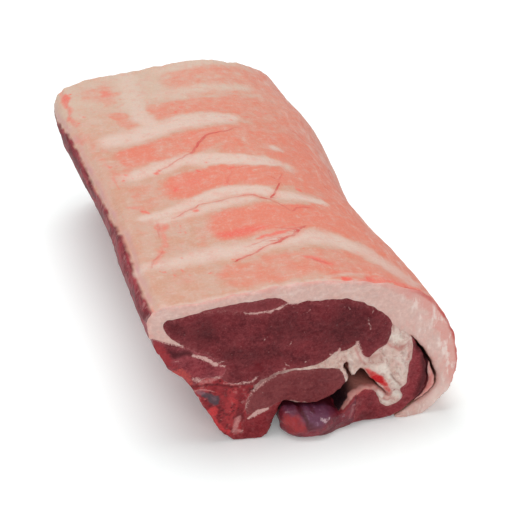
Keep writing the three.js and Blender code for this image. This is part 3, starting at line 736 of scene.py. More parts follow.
veins = [  # path, width, strength
    ([(-40.6, -34.6), (-41, -40.2), (-42, -44.9)], 0.8, 0.28),
    ([(-49, -64.7), (-46, -59.5), (-43.7, -56.1)], 0.8, 0.35),
    ([(-18.2, -70.8), (-16, -70.4), (-13.5, -69.6)], 0.9, 0.9),
    ([(-13.5, -69.6), (-9, -67.5), (-4.5, -65.3)], 0.6, 0.55),
    ([(-4.5, -65.3), (0.5, -63.7), (4.7, -61.5), (11.2, -56.6)], 1.0, 1.0),
    ([(-12.2, -63.5), (-6.7, -61.9), (-0.5, -61.2)], 0.5, 0.32),
    ([(1, -56.1), (6.2, -57.3), (11.2, -56.6)], 0.5, 0.4),
    ([(-33.5, -32.9), (-29, -30.7), (-24.2, -29), (-19.7, -28.2), (-12.7, -29), (-6.5, -28.7)], 0.6, 0.42),
    ([(-6.5, -28.7), (-2.5, -30.3), (0.5, -33.3), (3.2, -34.8)], 0.8, 0.7),
    ([(3.2, -34.8), (5.7, -38.7), (8, -41.2), (10.5, -45.1), (13.7, -43.3), (18.5, -43.5)], 0.6, 0.45),
    ([(3.2, -34.8), (6.7, -32.1), (9.2, -28.4), (12, -25.6)], 0.8, 0.9),
    ([(11, -19.9), (12.5, -21.8), (16, -17.7)], 0.5, 0.4),
    ([(-31, 1.4), (-25.2, 5), (-19.7, 8.1), (-16, 9.4)], 0.6, 0.42),
    ([(-16, 9.4), (-12.2, 13.6), (-7, 19.6), (-1.7, 21.4), (3.2, 20.8)], 1.0, 1.0),
    ([(3.2, 20.8), (6.7, 23.6), (9.2, 24)], 0.6, 0.55),
    ([(-5, -11.2), (-8.2, -14.9), (-9.2, -16.8), (-8.7, -19.2)], 0.5, 0.22),
    ([(35, 28), (38, 26), (41, 20)], 0.7, 0.4), ([(36, -21.6), (38, -23.6)], 0.7, 0.5),
    ([(46, -12), (47, -4), (50, 6)], 0.5, 0.35), ([(7.4, -79.6), (10.6, -82.8)], 0.6, 0.45),
    ([(36, -96.4), (48, -97.2), (62, -98)], 0.9, 0.8), ([(32, 22), (37, 12), (41, 2)], 0.35, 0.25),
    ([(40, -2), (44, -14), (47, -24)], 0.35, 0.25), ([(30, -24), (38, -38), (44, -48)], 0.35, 0.2),
    ([(50, -60), (56, -48), (60, -30)], 0.5, 0.4),
]
skinDots = [  # small dark spots: across, along, width
    (-9.6, 49.4, 1.5), (-12.6, 46, 1.3), (3.4, 44, 1.4), (-48, 56, 1.5), (40, -11, 1.1), (-25.6, -31.4, 1.6),
    (-42.6, -26.4, 1.3), (-44.6, -24.4, 1.0), (-29, -14.6, 2.0), (-17, -5, 1.1), (-5.6, -8.6, 1.3), (-19, -13, 0.9),
    (14, -41, 1.2), (-37, -62, 1.0), (-30, -76, 1.1), (-42, -73, 1.2), (-36.6, -74.4, 0.9), (-20, -70, 0.8),
    (-48, 12, 1.2), (-46, 0, 1.3), (-44, 4, 1.1), (-32.8, 0.4, 2.4), (-31.4, 2.2, 1.8), (-52, 88, 1.6),
    (-50, 80, 1.3), (-22, 60, 0.8), (31, 6, 1.0), (-32.2, -44.7, 1.0), (-34, -43.6, 0.8), (-45.2, -70.1, 1.3),
    (-39, -70.7, 1.1), (-12.7, -0.1, 1.2), (-4, -8.4, 1.3), (-17.5, -3.8, 1.1), (16, 34.8, 0.9), (18.2, -29.2, 1.0),
    (39, -1.6, 1.2), (-51, 51.4, 1.1), (38, -36, 1.2), (52, -20, 1.1), (56, -66, 1.3), (-33, -40, 0.9),
    (-15, -40, 0.8), (27, -74, 1.0), (8, 31, 0.8), (26, 40, 1.0), (44, 24, 0.9),
]
skinRun = along("backFat", 0.1)
skinAcross = np.concatenate([[0], np.cumsum(np.linalg.norm(np.diff(skinRun, axis=0), axis=1))])
skinAcross -= skinAcross[np.argmax(skinRun[:, 1])]


def acrossSkin(points):  # how far over the skin each point of the section map lies, in mm from the highest point
    nearest = [np.argmin(((part[:, None] - skinRun[None]) ** 2).sum(-1), 1)
               for part in np.array_split(points, max(1, len(points) // 300))]
    return skinAcross[np.concatenate(nearest)]


def skinMasks(flat):  # flat: across and along, in mm
    bent = flat + np.stack([scatter(flat, 9, 31, 3), scatter(flat, 9, 32, 3)], 1) * (2.2, 1.6)
    meat = np.zeros(len(flat))
    for across, length, halfWidth, halfLength, turn, strength in skinPatches:
        c, s = math.cos(math.radians(turn)), math.sin(math.radians(turn))
        dx, dy = bent[:, 0] - across, bent[:, 1] - length
        u, v = np.abs(c * dx + s * dy) / halfWidth, np.abs(c * dy - s * dx) / halfLength
        meat = np.maximum(meat, strength * (1 - smooth(((u**3.2 + v**3.2) ** (1 / 3.2) - 0.7) / 0.5)))
    band = strokes(bent, creamBands)
    meat *= (1 - 0.92 * band) * (1 - 0.9 * strokes(bent, plainBands))
    meat = meat + 0.16 * scatter(flat, 4, 35, 3) * smooth(meat * 4) - 0.07 * smooth(scatter(flat, 2.2, 36, 2) * 2)
    hot = strokes(bent, hotMarks)
    for across, length, width in skinDots:
        distance = np.hypot(flat[:, 0] - across, flat[:, 1] - length)
        hot = np.maximum(hot, 0.85 * (1 - smooth((distance - width * 0.3) / 0.8)))
    return np.clip(meat, 0, 1), hot, band


def veinMasks(flat):  # to which side of the nearest vein each point lies, in mm, the vein's half width and its strength
    best, side, half, reach = np.full(len(flat), 1e9), np.zeros(len(flat)), np.zeros(len(flat)), np.zeros(len(flat))
    bent = flat + np.stack([scatter(flat, 5, 33, 2), scatter(flat, 5, 34, 2)], 1) * 0.7
    for path, width, strength in veins:
        path = spline(path, 1.0)
        distance, where = toPath(bent, path)
        share = lambda a, way: np.clip(((bent - a) @ way) / (way @ way), 0, 1)[:, None]
        place = np.argmin([np.linalg.norm(bent - a - share(a, b - a) * (b - a), axis=1)
                           for a, b in zip(path, path[1:])], 0)
        a, way = path[place], path[place + 1] - path[place]
        sign = np.sign(way[:, 0] * (bent[:, 1] - a[:, 1]) - way[:, 1] * (bent[:, 0] - a[:, 0]))
        hit = distance < best
        best = np.where(hit, distance, best)
        side = np.where(hit, sign * distance, side)
        half = np.where(hit, width / 2 * (0.5 + 0.5 * np.sin(np.pi * np.clip(where, 0.05, 0.95))), half)
        reach = np.where(hit, strength * (1 - smooth((distance - width / 2 - 0.7) / 1.2)), reach)
    return np.clip(side, -4, 4), half, reach


skinRelief = {  # heights in mm, and places across and along the skin
    "swell": 0.35, "lumps": 0.16, "meatDip": 0.22, "wrinkles": 0.12, "grain": 0.05, "border": 0.4, "borderAt": -53.6,
    "knob": 0.7, "knobAt": (-51.5, -92),
}


def fatRelief(grid, sides, tags):
    look, skin = skinRelief, tags == "backFat"
    relief = np.zeros(grid.shape[:2])
    loop = sides[0, skin, :2]
    across = np.broadcast_to(acrossSkin(loop), (len(grid), skin.sum()))
    flat = np.stack([across, grid[:, skin, 1] + loin["middle"][1]], -1).reshape(-1, 2)
    meat, hot, band = skinMasks(flat)
    spot = grid[:, skin].reshape(-1, 3)
    right = smooth((flat[:, 0] - 10) / 35)
    x, y, z = spot.T
    slanted = np.stack([x * 0.5 + y * 0.87, (y * 0.5 - x * 0.87) / 7, z / 7], 1)  # wrinkles run slantwise
    lift = look["swell"] * scatter(spot, 24, 41) + look["lumps"] * scatter(spot, 7, 42, 2) - look["meatDip"] * meat
    lift += look["wrinkles"] * scatter(slanted, 2.4, 43, 2) * (0.35 + right) + look["grain"] * scatter(spot, 1.6, 44)
    wall = smooth((np.interp(flat[:, 1], *np.transpose(fatCover["wallStart"])) - flat[:, 0]) / 1.6)
    stringy = np.stack([x, y / 5, z], 1)
    lift -= wall * (0.5 + 0.45 * scatter(stringy, 2.2, 45, 2))
    lift += look["border"] * np.exp(-(((flat[:, 0] - look["borderAt"]) / 1.3) ** 2))
    knob = np.exp(-((flat - look["knobAt"]) ** 2).sum(1) / 5)
    relief[:, skin] = (lift + look["knob"] * knob).reshape(len(grid), -1)
    return relief


def fatMasks(points, where, tags):
    skin = tags == "backFat"
    meat, hot, band, far, edge, wall, flank, line, veinSide, veinHalf, vein = (np.zeros(len(points)) for _ in range(11))
    loop = where[skin][:, :2]
    size = int(skin.sum() / np.sum(where[:, 2][skin] == where[skin][0, 2]))
    flat = np.column_stack([np.tile(acrossSkin(loop[: len(loop) // size]), size), points[skin, 1] + loin["middle"][1]])
    meat[skin], hot[skin], band[skin] = skinMasks(flat)
    far[skin] = smooth((flat[:, 1] - 25) / 50)
    slant = loin["slant"] * (where[skin, 0] - loin["slantFrom"])
    front = points[skin, 1] + loin["middle"][1] + loin["length"] / 2 + slant
    edge[skin] = smooth((2.6 + scatter(flat, 4, 56, 2) - front) / 1.6) * (1 - 0.8 * smooth((flat[:, 0] - 22) / 12))
    veinSide[skin], veinHalf[skin], vein[skin] = veinMasks(flat)
    start = np.interp(flat[:, 1], *np.transpose(fatCover["wallStart"]))
    wall[skin] = smooth((start + 0.8 * scatter(flat, 6, 51, 2) - flat[:, 0]) / 1.1)
    flank[skin] = smooth((flat[:, 0] - 22) / 26)
    offLine = flat[:, 0] - start - 1.2 - 0.7 * scatter(flat, 8, 54)
    line[skin] = np.exp(-((offLine / 1.1) ** 2)) * (0.7 + 0.5 * scatter(flat, 7, 52))
    depth = np.zeros(len(points))
    cap = where[:, 2] * (1 - where[:, 2]) == 0
    depth[cap] = nearestTo(where[cap][:, :2], skinRun[::4])
    right = smooth((where[:, 0] - 22) / 22)
    deepest = 4.0 * right * (0.35 + 0.65 * smooth((where[:, 1] - 8) / 16))
    x, z = where[:, 0], where[:, 1]
    reach = depth + (0.5 + 2.1 * right) * scatter(where[:, :2], 4.5, 53, 3) - 0.2 - deepest
    outer = 1 - smooth(reach / (0.9 + 1.3 * right))
    outer *= (0.4 + 0.6 * right) * (0.15 + 0.85 * smooth((z - 9) / 12 + (x < 40)))
    rind = (1 - smooth((depth - 0.5) / 0.8)) * smooth((x - 33) / 10) * smooth((z - 8) / 14)
    rind *= 0.75 + 0.5 * scatter(where[:, :2], 6, 55, 2)
    slitPink = np.exp(-nearestTo(where[:, :2], along("tailInside", 0.5)[24:]) / 0.8)
    return {"meat": meat, "hot": hot, "band": band, "far": far, "edge": edge, "vein": vein, "veinSide": veinSide,
            "veinHalf": veinHalf, "wall": wall, "flank": flank, "line": line, "outer": outer * cap,
            "rind": np.clip(rind, 0, 1) * cap, "right": right * cap, "slitPink": slitPink * cap,
            "low": right * smooth((x - 43) / 4) * smooth((17 - z) / 6) * cap}


def fatPaint(spec):
    paint = Paint("fat cover", spec)
    step, mask, clamp, noise = paint.step, paint.mask, paint.clamp, paint.noise
    meat, flank, wall, cut = (mask(m) for m in ("meat", "flank", "wall", "cut"))
    cloudy, fine, blotch, dapple = noise(7, 4), noise(1.0, 4, 0.7), noise(16, 3), noise(3.4, 5, 0.7)
    fibre = noise(1.7, 4, 0.7, (0.2, 1, 1), (0, 0, 0.3))
    crease = noise(1.9, 4, 0.65, (1, 0.16, 1), (0, 0, 0.42))
    wander = paint.maths("ABSOLUTE", mask("veinSide") + (noise(1.6, 3) - 0.5) * 0.7)
    half = mask("veinHalf")
    vein = clamp(mask("vein") * 1.25) * (1 - step(wander, half * 0.8, half + 0.35))
    pink = step(meat + (cloudy - 0.5) * 0.4 + (dapple - 0.5) * 0.28, 0.08, 0.95) * 1.05
    flush = step(noise(2.3, 4, 0.7), 0.57, 0.76) * step(noise(13, 2), 0.46, 0.62)
    specks = step(paint.cells(4.6), 0.11, 0.03) * step(noise(8, 2), 0.5, 0.6)
    skin = paint.layers(paint.mix(step(cloudy, 0.4, 0.62), "cream", "warm"), [
        (clamp(mask("band") * (0.5 + 0.8 * dapple)), "pale"),
        (mask("far") * 0.65, "grey"),
        (flank * 0.8, "flank"),
        (clamp(pink + step(blotch, 0.54, 0.75) * 0.2), "salmon"),
        (step(dapple, 0.52, 0.72) * 0.26, "salmon"),
        (step(dapple, 0.46, 0.28) * 0.38, "pale"),
        (mask("edge") * (0.3 + 0.6 * fine), "pale"),
        (step(noise(4.6, 5, 0.72), 0.5, 0.66) * 0.4, "rosy"),
        (paint.torn(mask("hot"), [(dapple, 0.55), (fine, 0.4)], 0.1, 1.1, 0.2), "hot"),
        (flush * 0.22, "hot"),
        (specks * 0.6, "hot"),
        (step(fibre, 0.52, 0.72) * 0.2, "pale"),
        (step(fibre, 0.42, 0.26) * 0.24, "salmon"),
        (step(crease, 0.53, 0.7) * (0.12 + 0.45 * flank), "pale"),
        (step(crease, 0.44, 0.3) * (0.1 + 0.4 * flank), "creaseSalmon"),
        (step(fine, 0.48, 0.72) * 0.28, "pale"),
        (step(fine, 0.44, 0.26) * 0.3, "warm"),
        (mask("vein") * (0.15 + 0.5 * dapple), "salmon"),
        (clamp(vein * (noise(4, 3, 0.6) * 2.2 - 0.4)), "vein"),
        (clamp(mask("line") * (0.4 + cloudy)), "edgeLine"),
    ])
    strands, drops = noise(3.0, 4, 0.65, (1, 0.3, 1)), noise(1.8, 3, 0.6, (1, 1, 0.22))
    wallColor = paint.mix(step(strands, 0.35, 0.7), dimmed(spec["wall"], 0.4), "wall")
    wallColor = paint.mix(step(drops, 0.52, 0.75) * 0.36, wallColor, "edgeLine")
    right, outer, grains = mask("right"), mask("outer"), noise(1.5, 5, 0.72)
    sheets = noise(2.4, 4, 0.65, (0.3, 1, 1)) * (1 - right) + noise(2.6, 4, 0.65, (1, 1, 0.35)) * right
    cutColor = paint.layers(paint.mix(step(grains, 0.36, 0.62), "cutGrey", "cutFat"), [
        (step(grains, 0.54, 0.72) * 0.45, "cutWhite"),
        (clamp(outer * (0.3 + 0.9 * dapple)), "cutPink"),
        (step(sheets, 0.53, 0.66) * (0.2 + 0.2 * right), "cutPink"),
        (clamp(step(sheets, 0.5, 0.34) * (0.4 + 0.5 * right) + right * 0.15), "cutWhite"),
        (mask("low") * (0.25 + 0.6 * dapple), "cutWhite"),
        (mask("slitPink") * 0.7, "slitPink"),
        (step(dapple, 0.6, 0.76) * 0.5 * right * outer, "hot"),
        ((1 - mask("rim")) ** 6 * 0.3 * step(cloudy, 0.4, 0.6), "cutPink"),
        (clamp(mask("rind") * (0.4 + 0.9 * fine)), "rind"),
    ])
    # inward and deep: painted shade on the sides inside the slit
    color = paint.layers(skin, [(wall, wallColor), (cut, cutColor), (mask("inward") * 0.9, "inside"),
                                (mask("deep") * 0.9, dimmed(spec["inside"], 0.4))])
    height = grains * cut * 0.8 + fine * 0.5 + fibre * 0.7 + dapple * 0.6 + crease * flank * 0.8
    height = height + strands * wall - vein * 0.6
    roughness = 0.42 + 0.22 * cloudy + 0.08 * fine
    return paint.finish(color, roughness, paint.bump(height, 0.5, 0.0008), soft=0.16, softReach=0.004,
                        coatRoughness=0.3, specular=0.25)


fat = makePiece("fat_cover", fatCover, fatRelief, fatMasks)
fat.data.materials.append(fatPaint(fatCover))
print("fat cover made")


# cut meat: one dictionary for each muscle
def meatPaint(name, spec):
    paint = Paint(name, spec)
    step, mask, clamp, noise = paint.step, paint.mask, paint.clamp, paint.noise
    blood, shade, rim = (mask(m) for m in ("blood", "shade", "rim"))
    coarse, grain, hair = noise(6, 3), noise(1.0, 4, 0.65), noise(0.5, 3, 0.6)
    fibre, bundles = noise(2.2, 4, 0.65, (0.35, 1, 1), (0, 0.5, 0)), paint.cells(spec["bundle"])
    # flecks: light dots of marbling, which also stand in for small painted glints
    flecks = step(paint.cells(2.3), 0.17, 0.05) * step(noise(4, 2), 0.48, 0.6)
    inner = paint.layers(paint.mix(step(coarse, 0.3, 0.72), "dark", "base"), [
        (step(grain, 0.42, 0.78) * 0.6, "light"),
        (step(noise(2.6, 3), 0.5, 0.7) * 0.3, "dark"),
        (step(bundles, 0.35, 0.75) * 0.22, "light"),
        # broad lighter patches: painted sheen
        (step(noise(11, 3), 0.5, 0.72) * 0.3, "light"),
        (step(hair, 0.5, 0.3) * 0.5, "dark"),
        (step(hair, 0.54, 0.7) * 0.3, "light"),
        (step(fibre, 0.5, 0.68) * 0.35, "light"),
        (step(grain, 0.46, 0.62) * (1 - rim) ** 6 * 0.45, "fleck"),
        (flecks * spec["flecks"], "fleck"),
        (clamp((1 - rim) ** 2 * spec["rimLight"]), "light"),
        # shade marks: painted shade in creases and gaps, and darker patches of meat
        (clamp(shade * (0.8 + 0.4 * coarse)), dimmed(spec["dark"], 0.35)),
        (paint.torn(blood, [(grain, 1.5), (coarse, 0.8)], 0.1, 1.3, 0.4), "blood"),
        (paint.torn(mask("white"), [(grain, 1.3), (hair, 0.8)], 0.15, 0.9, 0.25), "white"),
    ])
    if "bright" in spec["marks"]:
        inner = paint.mix(paint.torn(mask("bright"), [(grain, 1.8), (hair, 1.0)], 0.2, 1.4, 0.4), inner, "bright")
    outside = paint.mix(step(noise(3, 4, 0.6, (1, 0.15, 1)), 0.4, 0.72), "side", "sideLight")
    outside = paint.mix(clamp(blood * 0.7), outside, "blood")
    # inward: painted shade on the sides inside openings
    color = paint.layers(outside, [(mask("cut"), inner), (mask("inward") * 0.85, dimmed(spec["dark"], 0.4))])
    height = grain * 0.6 + bundles * 0.5 + hair * 0.4 + fibre * 0.5
    roughness = spec["roughness"] + 0.18 * coarse + 0.1 * grain
    wet = step(noise(1.5, 3, 0.6), 0.55, 0.7) * spec["wet"]
    return paint.finish(color, roughness, paint.bump(height, 0.4, 0.0006), soft=0.06, softReach=0.002, coat=wet,
                        coatRoughness=0.18, specular=0.12)


meatLook = {
    "base": (0.158, 0.0135, 0.020), "dark": (0.092, 0.007, 0.012), "light": (0.27, 0.046, 0.053), "wet": 0.25,
    # fleck: the colour of marbling dots and painted glints
    "fleck": (0.42, 0.20, 0.19), "flecks": 0.35, "rimLight": 0.35, "blood": (0.13, 0.003, 0.008),
    "bright": (0.50, 0.070, 0.060), "white": (0.62, 0.36, 0.33), "side": (0.17, 0.035, 0.045),
    "sideLight": (0.34, 0.11, 0.12), "bundle": 1.7, "roughness": 0.34,
}
meatShape = {
    "step": 0.62, "stationStep": 7.0, "capStep": 0.58, "proud": 0.3, "grain": 0.16, "grainSize": 1.5, "rounding": 0.6,
    "slot": "dark_meat", "marks": ("white", "blood", "shade"),
}
muscles = {
    "cap_strip": ({"round": ["stripTop", "stripUnder"], "slot": "light_meat"},
                  {"base": (0.19, 0.028, 0.033), "dark": (0.14, 0.018, 0.023)}),
    "eye_muscle": ({"round": ["eyeTop", "eyeUnder", "eyeOnBone", "eyeBackUnder", "eyeBackEnd", "stripUnder"],
                    "proud": 0.45}, {}),
    "back_muscle": ({"round": ["fatFoot", "backWall", "backOnBone", "eyeBackUnder"], "stationStep": 1.3, "proud": 0.0,
                     "slot": "light_meat", "marks": ("white", "blood", "shade", "bright")},
                    {"base": (0.25, 0.025, 0.035), "dark": (0.12, 0.009, 0.017), "light": (0.38, 0.080, 0.092),
                     "blood": (0.31, 0.024, 0.030)}),
    "tenderloin": ({"round": ["tenderTop", "tenderEnd", "tenderUnder", "lowTop", "boneInside"], "stationStep": 2.5,
                    "proud": 0.7},
                   {"base": (0.175, 0.025, 0.029), "dark": (0.13, 0.017, 0.022), "light": (0.27, 0.062, 0.064)}),
    "psoas_minor": ({"round": ["boneFoot", "lowTop", "lowRight", "lowUnder", "lowLeft"], "stationStep": 2.0,
                     "proud": 0.3, "slot": "light_meat", "bulges": [((-14.8, 4), 1.1, 7), ((-25, 1), 0.7, 3)]},
                    {"base": (0.215, 0.013, 0.020), "dark": (0.145, 0.007, 0.012), "light": (0.33, 0.046, 0.052),
                     "wet": 0.5}),
    "flap_muscle": ({"round": ["rimFlap", "flapOutside", "flapUnder", "rollFlap"], "stationStep": 2.0, "proud": -0.4,
                     "rises": [("rollFlap", 1.5, 3.6)]},
                    {"base": (0.215, 0.018, 0.026), "dark": (0.135, 0.009, 0.015), "light": (0.35, 0.062, 0.072),
                     "wet": 0.4, "blood": (0.36, 0.034, 0.040)}),
    "flank_strip": ({"round": ["stripOutside", "stripInside"], "stationStep": 4.0, "proud": -0.2, "slot": "light_meat"},
                    {"base": (0.66, 0.25, 0.225), "dark": (0.55, 0.15, 0.135), "light": (0.72, 0.42, 0.37),
                     "blood": (0.46, 0.07, 0.07)}),
}


def meatRelief(grid, sides, tags):
    shown = np.isin(tags, ["backWall", "lowRight", "tenderUnder", "flapUnder", "flapOutside", "lowLeft"])
    relief = roughen(grid * (1, 1 / 4, 1), [(0.32, 4.5, 61, 2)]) - 0.12
    return relief * shown[None] * smooth((sides[..., 1] - 0.5) / 4)


for name, (shape, look) in muscles.items():
    shape = {**meatShape, **shape}
    made = makePiece(name, shape, meatRelief)
    made.data.materials.append(meatPaint(name.replace("_", " "), {**meatLook, **look, "marks": shape["marks"]}))
print("muscles made")


# the sawn backbone
chineBone = {
    "round": ["backOnBone", "boneWall", "boneFoot", "boneInside", "eyeOnBone"], "step": 0.6, "stationStep": 1.2,
    "capStep": 0.5, "proud": 0.2, "grain": 0.32, "grainSize": 1.7, "rounding": 0.5, "slot": "bone",
    "marks": ("white", "blood", "shade", "cord", "bright", "lilac"), "base": (0.215, 0.009, 0.015),
    "deep": (0.09, 0.002, 0.006), "bright": (0.36, 0.028, 0.034), "lump": (0.56, 0.036, 0.040),
    "gristle": (0.60, 0.24, 0.23), "cordGrey": (0.076, 0.042, 0.055), "lilac": (0.26, 0.13, 0.16), "vertebra": 32.0,
    "disc": 5.0,
}


def fromDisc(y):  # 0 at the middle of each disc and 1 at the middle of each vertebra
    return np.abs((y / chineBone["vertebra"] % 1) - 0.5) * 2


def boneRelief(grid, sides, tags):
    waist = -0.9 * smooth((fromDisc(grid[..., 1]) - 0.2) / 0.6) * smooth((grid[..., 1] + 90) / 14)
    rough = roughen(grid, [(0.22, 2.4, 71, 2), (0.18, 7, 72)])
    return (waist + rough) * (tags == "boneWall")[None] * smooth(sides[..., 1] / 3)


def boneMasks(points, where, tags):
    disc = 1 - smooth((fromDisc(points[:, 1]) * chineBone["vertebra"] / 2 - chineBone["disc"] / 2) / 1.2)
    canal = np.exp(-(((where[:, 1] - 19.5) / 3.6) ** 2))
    side = (tags == "boneWall") * smooth(np.minimum(where[:, 2], 1 - where[:, 2]) * loin["length"] / 5)
    return {"disc": disc * side * (1 - canal), "canal": canal * side}


def bonePaint(spec):
    paint = Paint("sawn bone", spec)
    step, mask, clamp, noise = paint.step, paint.mask, paint.clamp, paint.noise
    pores, fine, cloudy = paint.cells(1.5), noise(0.9, 4, 0.7), noise(5, 3)
    color = paint.layers(paint.mix(step(cloudy, 0.4, 0.62), "base", "bright"), [
        (step(fine, 0.5, 0.8) * 0.6, "bright"),
        (clamp(step(pores, 0.42, 0.2) * step(fine, 0.38, 0.6)) * 0.75, "deep"),
        (step(noise(2.0, 3, 0.6), 0.56, 0.7) * 0.3, "gristle"),
        (clamp(mask("blood") * (0.4 + 0.6 * fine)), "base"),
        (paint.torn(mask("bright"), [(fine, 1.6)], 0.15, 1.2, 0.4), "lump"),
        (clamp(mask("shade") * 0.9), "deep"),
        (paint.torn(mask("white"), [(fine, 1.3)], 0.1, 1.0, 0.3) * 0.9, "gristle"),
        (mask("disc") * 0.85, "gristle"),
        (clamp(mask("canal")) * 0.7, "deep"),
        (clamp(mask("cord") * (0.75 + 0.4 * fine)), "cordGrey"),
        (clamp(mask("lilac") * (0.3 + 0.8 * fine)), "lilac"),
    ])
    height = fine * 0.6 + clamp(step(pores, 0.1, 0.45))
    return paint.finish(color, 0.33 + 0.25 * cloudy, paint.bump(height, 0.5, 0.0007), soft=0.05, softReach=0.0018,
                        coat=0.04, specular=0.2)


bone = makePiece("chine_bone", chineBone, boneRelief, boneMasks)
bone.data.materials.append(bonePaint(chineBone))
print("bone made")

# the white fat between the muscles
seamFat = {
    "round": ["eyeUnder", "tenderTop", "tenderEnd", "slit", "hollowTop", "rimTop", "rimRoll", "rimFlap", "fatOnFat"],
    "step": 0.6, "stationStep": 1.7, "capStep": 0.5, "proud": 0.6, "grain": 1.0, "grainSize": 3.4, "rounding": 0.8,
    "slot": "inner_fat", "marks": ("white", "blood", "ridge", "pinkLine", "crease"), "rises": [("rimRoll", 2.0, 3.0)],
    "base": (0.70, 0.49, 0.425), "pale": (0.79, 0.63, 0.565), "white": (0.86, 0.76, 0.68), "pink": (0.55, 0.19, 0.17),
    "blood": (0.56, 0.003, 0.009), "bloodEdge": (0.66, 0.10, 0.09), "lip": (0.24, 0.024, 0.032),
    # gloom, crease and inside are colours of painted shade in the hollow, creases and folds
    "gloom": (0.030, 0.010, 0.014), "crease": (0.34, 0.15, 0.12), "speck": (0.25, 0.15, 0.11),
    "faint": (0.24, 0.07, 0.07), "inside": (0.50, 0.20, 0.165),
}


def seamRelief(grid, sides, tags):
    return roughen(grid, [(0.35, 3.6, 81, 2)]) * np.isin(tags, ["slit", "hollowTop", "rimTop"])[None]


def seamMasks(points, where, tags):
    rim = nearestTo(where[:, :2], along("rimTop", 0.5))
    faint = smooth((-3 - where[:, 0]) / 11) * (0.85 + 0.4 * scatter(where[:, :2], 2.5, 82, 2))
    low = smooth((24 - where[:, 0]) / 5) * smooth((19 - where[:, 1]) / 2)
    lip = smooth(1.35 - nearestTo(where[:, :2], along("rimRoll", 0.4)[3:]) / 1.1) * smooth((17.5 - where[:, 0]) / 1.5)
    # gloom: where the painted shade in the hollow is darkest
    return {"rimPink": np.maximum(smooth(1 - rim / 2.6) * (where[:, 1] < 19), low), "faint": faint, "lip": lip,
            "gloom": smooth((18 - where[:, 0]) / 5) * smooth((20 - where[:, 1]) / 3)}


def seamPaint(spec):
    paint = Paint("seam fat", spec)
    step, mask, clamp, noise = paint.step, paint.mask, paint.clamp, paint.noise
    fine, cloudy, folds = noise(1.2, 4, 0.65), noise(5, 3), noise(3.0, 3, 0.6, (1, 1, 0.45), (0, 0.5, 0))
    ridge, line, crease, blood = (mask(m) for m in ("ridge", "pinkLine", "crease", "blood"))
    specks = step(paint.cells(2.6), 0.13, 0.04) * step(noise(5, 2), 0.5, 0.6)
    crack = paint.maths("ABSOLUTE", noise(4.2, 4, 0.6) - 0.5)
    inward = step(mask("inward") + (fine - 0.5) * 0.5, 0.12, 0.8)
    color = paint.layers(paint.mix(step(cloudy, 0.35, 0.65), "base", "pale"), [
        # the crease colour in the hollows of folds and grain, and along the crease marks, is painted shade
        (step(folds, 0.6, 0.78) * 0.45, "pink"),
        (step(folds, 0.40, 0.26) * 0.5, "crease"),
        (step(fine, 0.6, 0.36) * 0.22, "crease"),
        (specks * 0.6, "speck"),
        (step(crack, 0.018, 0.004) * 0.5, "pink"),
        ((1 - mask("rim")) ** 6 * 0.4 * step(cloudy, 0.42, 0.6), "pink"),
        (clamp(mask("rimPink") * (0.3 + 0.9 * cloudy)), "pink"),
        (clamp(ridge * (0.4 + 0.9 * fine)) * 0.75, "white"),
        (clamp(line * (0.3 + 1.1 * fine)), "pink"),
        (clamp(crease * (0.5 + 0.8 * fine)), "crease"),
        (paint.torn(blood, [(fine, 0.6)], 0.12, 0.6, 0.2), "bloodEdge"),
        (step(blood + (fine - 0.5) * 0.4, 0.45, 0.95), "blood"),
        (clamp(mask("faint") * (0.6 + 0.6 * fine)), "faint"),
        (step(mask("lip") + (fine - 0.5) * 0.5, 0.3, 0.75), "lip"),
        # inside, deep and gloom: painted shade inside the slit and hollow
        (inward, "inside"),
        (mask("deep") * 0.8, dimmed(spec["inside"], 0.7)),
        (inward * mask("gloom"), "gloom"),
    ])
    height = fine + folds + step(crack, 0.0, 0.03) * 0.5 + ridge * 1.2 - crease * 1.2 - line * 0.5
    return paint.finish(color, 0.4 + 0.2 * cloudy, paint.bump(height, 0.55, 0.001), soft=0.14, softReach=0.003,
                        coatRoughness=0.25, specular=0.25)


seam = makePiece("seam_fat", seamFat, seamRelief, seamMasks)
seam.data.materials.append(seamPaint(seamFat))
print("seam fat made")

# the curled end of the flank
flapRoll = {
    "round": ["rimRoll", "rollFlap", "rollRight", "rollUnder", "rollLeft", "rollTop"], "step": 0.6,
    "stationStep": 1.7, "capStep": 0.55, "proud": 0.0, "grain": 0.2, "grainSize": 2.4, "rounding": 0.2,
    "slot": "skirt", "marks": ("white", "blood", "shade", "purple", "orange", "glint"), "base": (0.225, 0.024, 0.038),
    # deep: the darkest red, also the colour of painted shade in creases and openings
    "deep": (0.085, 0.006, 0.014), "purple": (0.148, 0.040, 0.084), "bulges": [((-11, 5), 0.6, 6)],
    "sheen": (0.27, 0.13, 0.21), "orange": (0.36, 0.018, 0.022), "magenta": (0.38, 0.037, 0.058),
    "rust": (0.19, 0.04, 0.035), "streak": (0.6, 0.33, 0.32), "glint": (0.62, 0.42, 0.46),
}
rollEnd = {
    "middle": np.array([1.0, 4.2]), "out": 5.2, "shrink": 0.42, "reach": 0.86, "rings": 9, "dome": 0.7, "lean": 0.72,
}


def rollRelief(grid, sides, tags):
    return roughen(grid, [(0.5, 6, 91, 2), (0.15, 2.2, 92)]) * smooth((sides[..., 1] - 0.4) / 3)


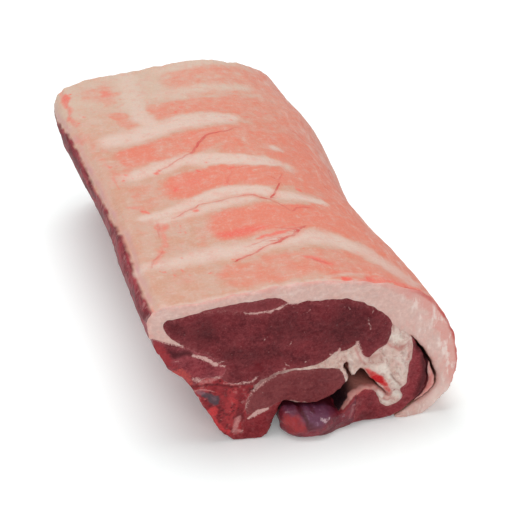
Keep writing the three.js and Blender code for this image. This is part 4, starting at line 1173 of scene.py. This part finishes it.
def rollPaint(spec):
    paint = Paint("flank roll", spec)
    step, mask, clamp, noise = paint.step, paint.mask, paint.clamp, paint.noise
    fine, cloudy, web, speck = noise(1.3, 4, 0.65), noise(5, 3), noise(2.4, 4, 0.7, (1, 1, 0.5)), noise(0.8, 3, 0.6)
    orange = mask("orange")
    membrane = paint.mix(step(web, 0.55, 0.72), "purple", "sheen")
    color = paint.layers(paint.mix(step(cloudy, 0.35, 0.65), dimmed(spec["deep"], 1.6), "base"), [
        (step(web, 0.5, 0.75) * 0.6, "magenta"),
        (clamp(mask("low") * (0.3 + 0.8 * cloudy)), "rust"),
        (paint.torn(orange, [(cloudy, 1.0), (fine, 1.1)], 0.2, 1.15, 0.5), "orange"),
        (orange * step(web, 0.52, 0.7) * 0.45, "magenta"),
        (clamp(mask("purple") * (0.8 + 0.3 * cloudy)), membrane),
        (clamp(mask("white") * 0.7), "streak"),
        # shade marks: painted shade in the roll's creases
        (clamp(mask("shade")), "deep"),
        (paint.torn(mask("glint"), [(speck, 2.4)], 0.45, 0.95, 0.3, 0.05) * 0.8, "glint"),
        # inward: painted shade on the sides inside openings
        (mask("inward") * 0.8, "deep"),
    ])
    wet = 0.08 + 0.6 * step(noise(1.6, 3, 0.6), 0.54, 0.68)
    return paint.finish(color, 0.24 + 0.25 * cloudy, paint.bump(fine + web, 0.45, 0.0009), soft=0.08, softReach=0.0025,
                        coat=wet, coatRoughness=0.14, specular=0.3)


def rollMasks(points, where, tags):
    return {"low": smooth((2.4 - points[:, 2]) / 2) * smooth((where[:, 0] + 4) / 6)}


roll = makePiece("flap_roll", flapRoll, rollRelief, rollMasks, rollEnd)
roll.data.materials.append(rollPaint(flapRoll))
print("roll made")

# plain floor
floor = {"half": 4.0, "color": (0.93, 0.98, 0.975), "roughness": 0.8, "glow": 0.12}
mesh = bpy.data.meshes.new("floor")
half = floor["half"]
mesh.from_pydata([(-half, -half, 0), (half, -half, 0), (half, half, 0), (-half, half, 0)], [], [(0, 1, 2, 3)])
ground = bpy.data.objects.new("floor", mesh)
scene.collection.objects.link(ground)
floorPaint = Paint("floor")
mesh.materials.append(floorPaint.finish((*floor["color"], 1), floor["roughness"], soft=0.0, softReach=0.001, specular=0.1,
                                        glow=floor["glow"]))
print("floor made")
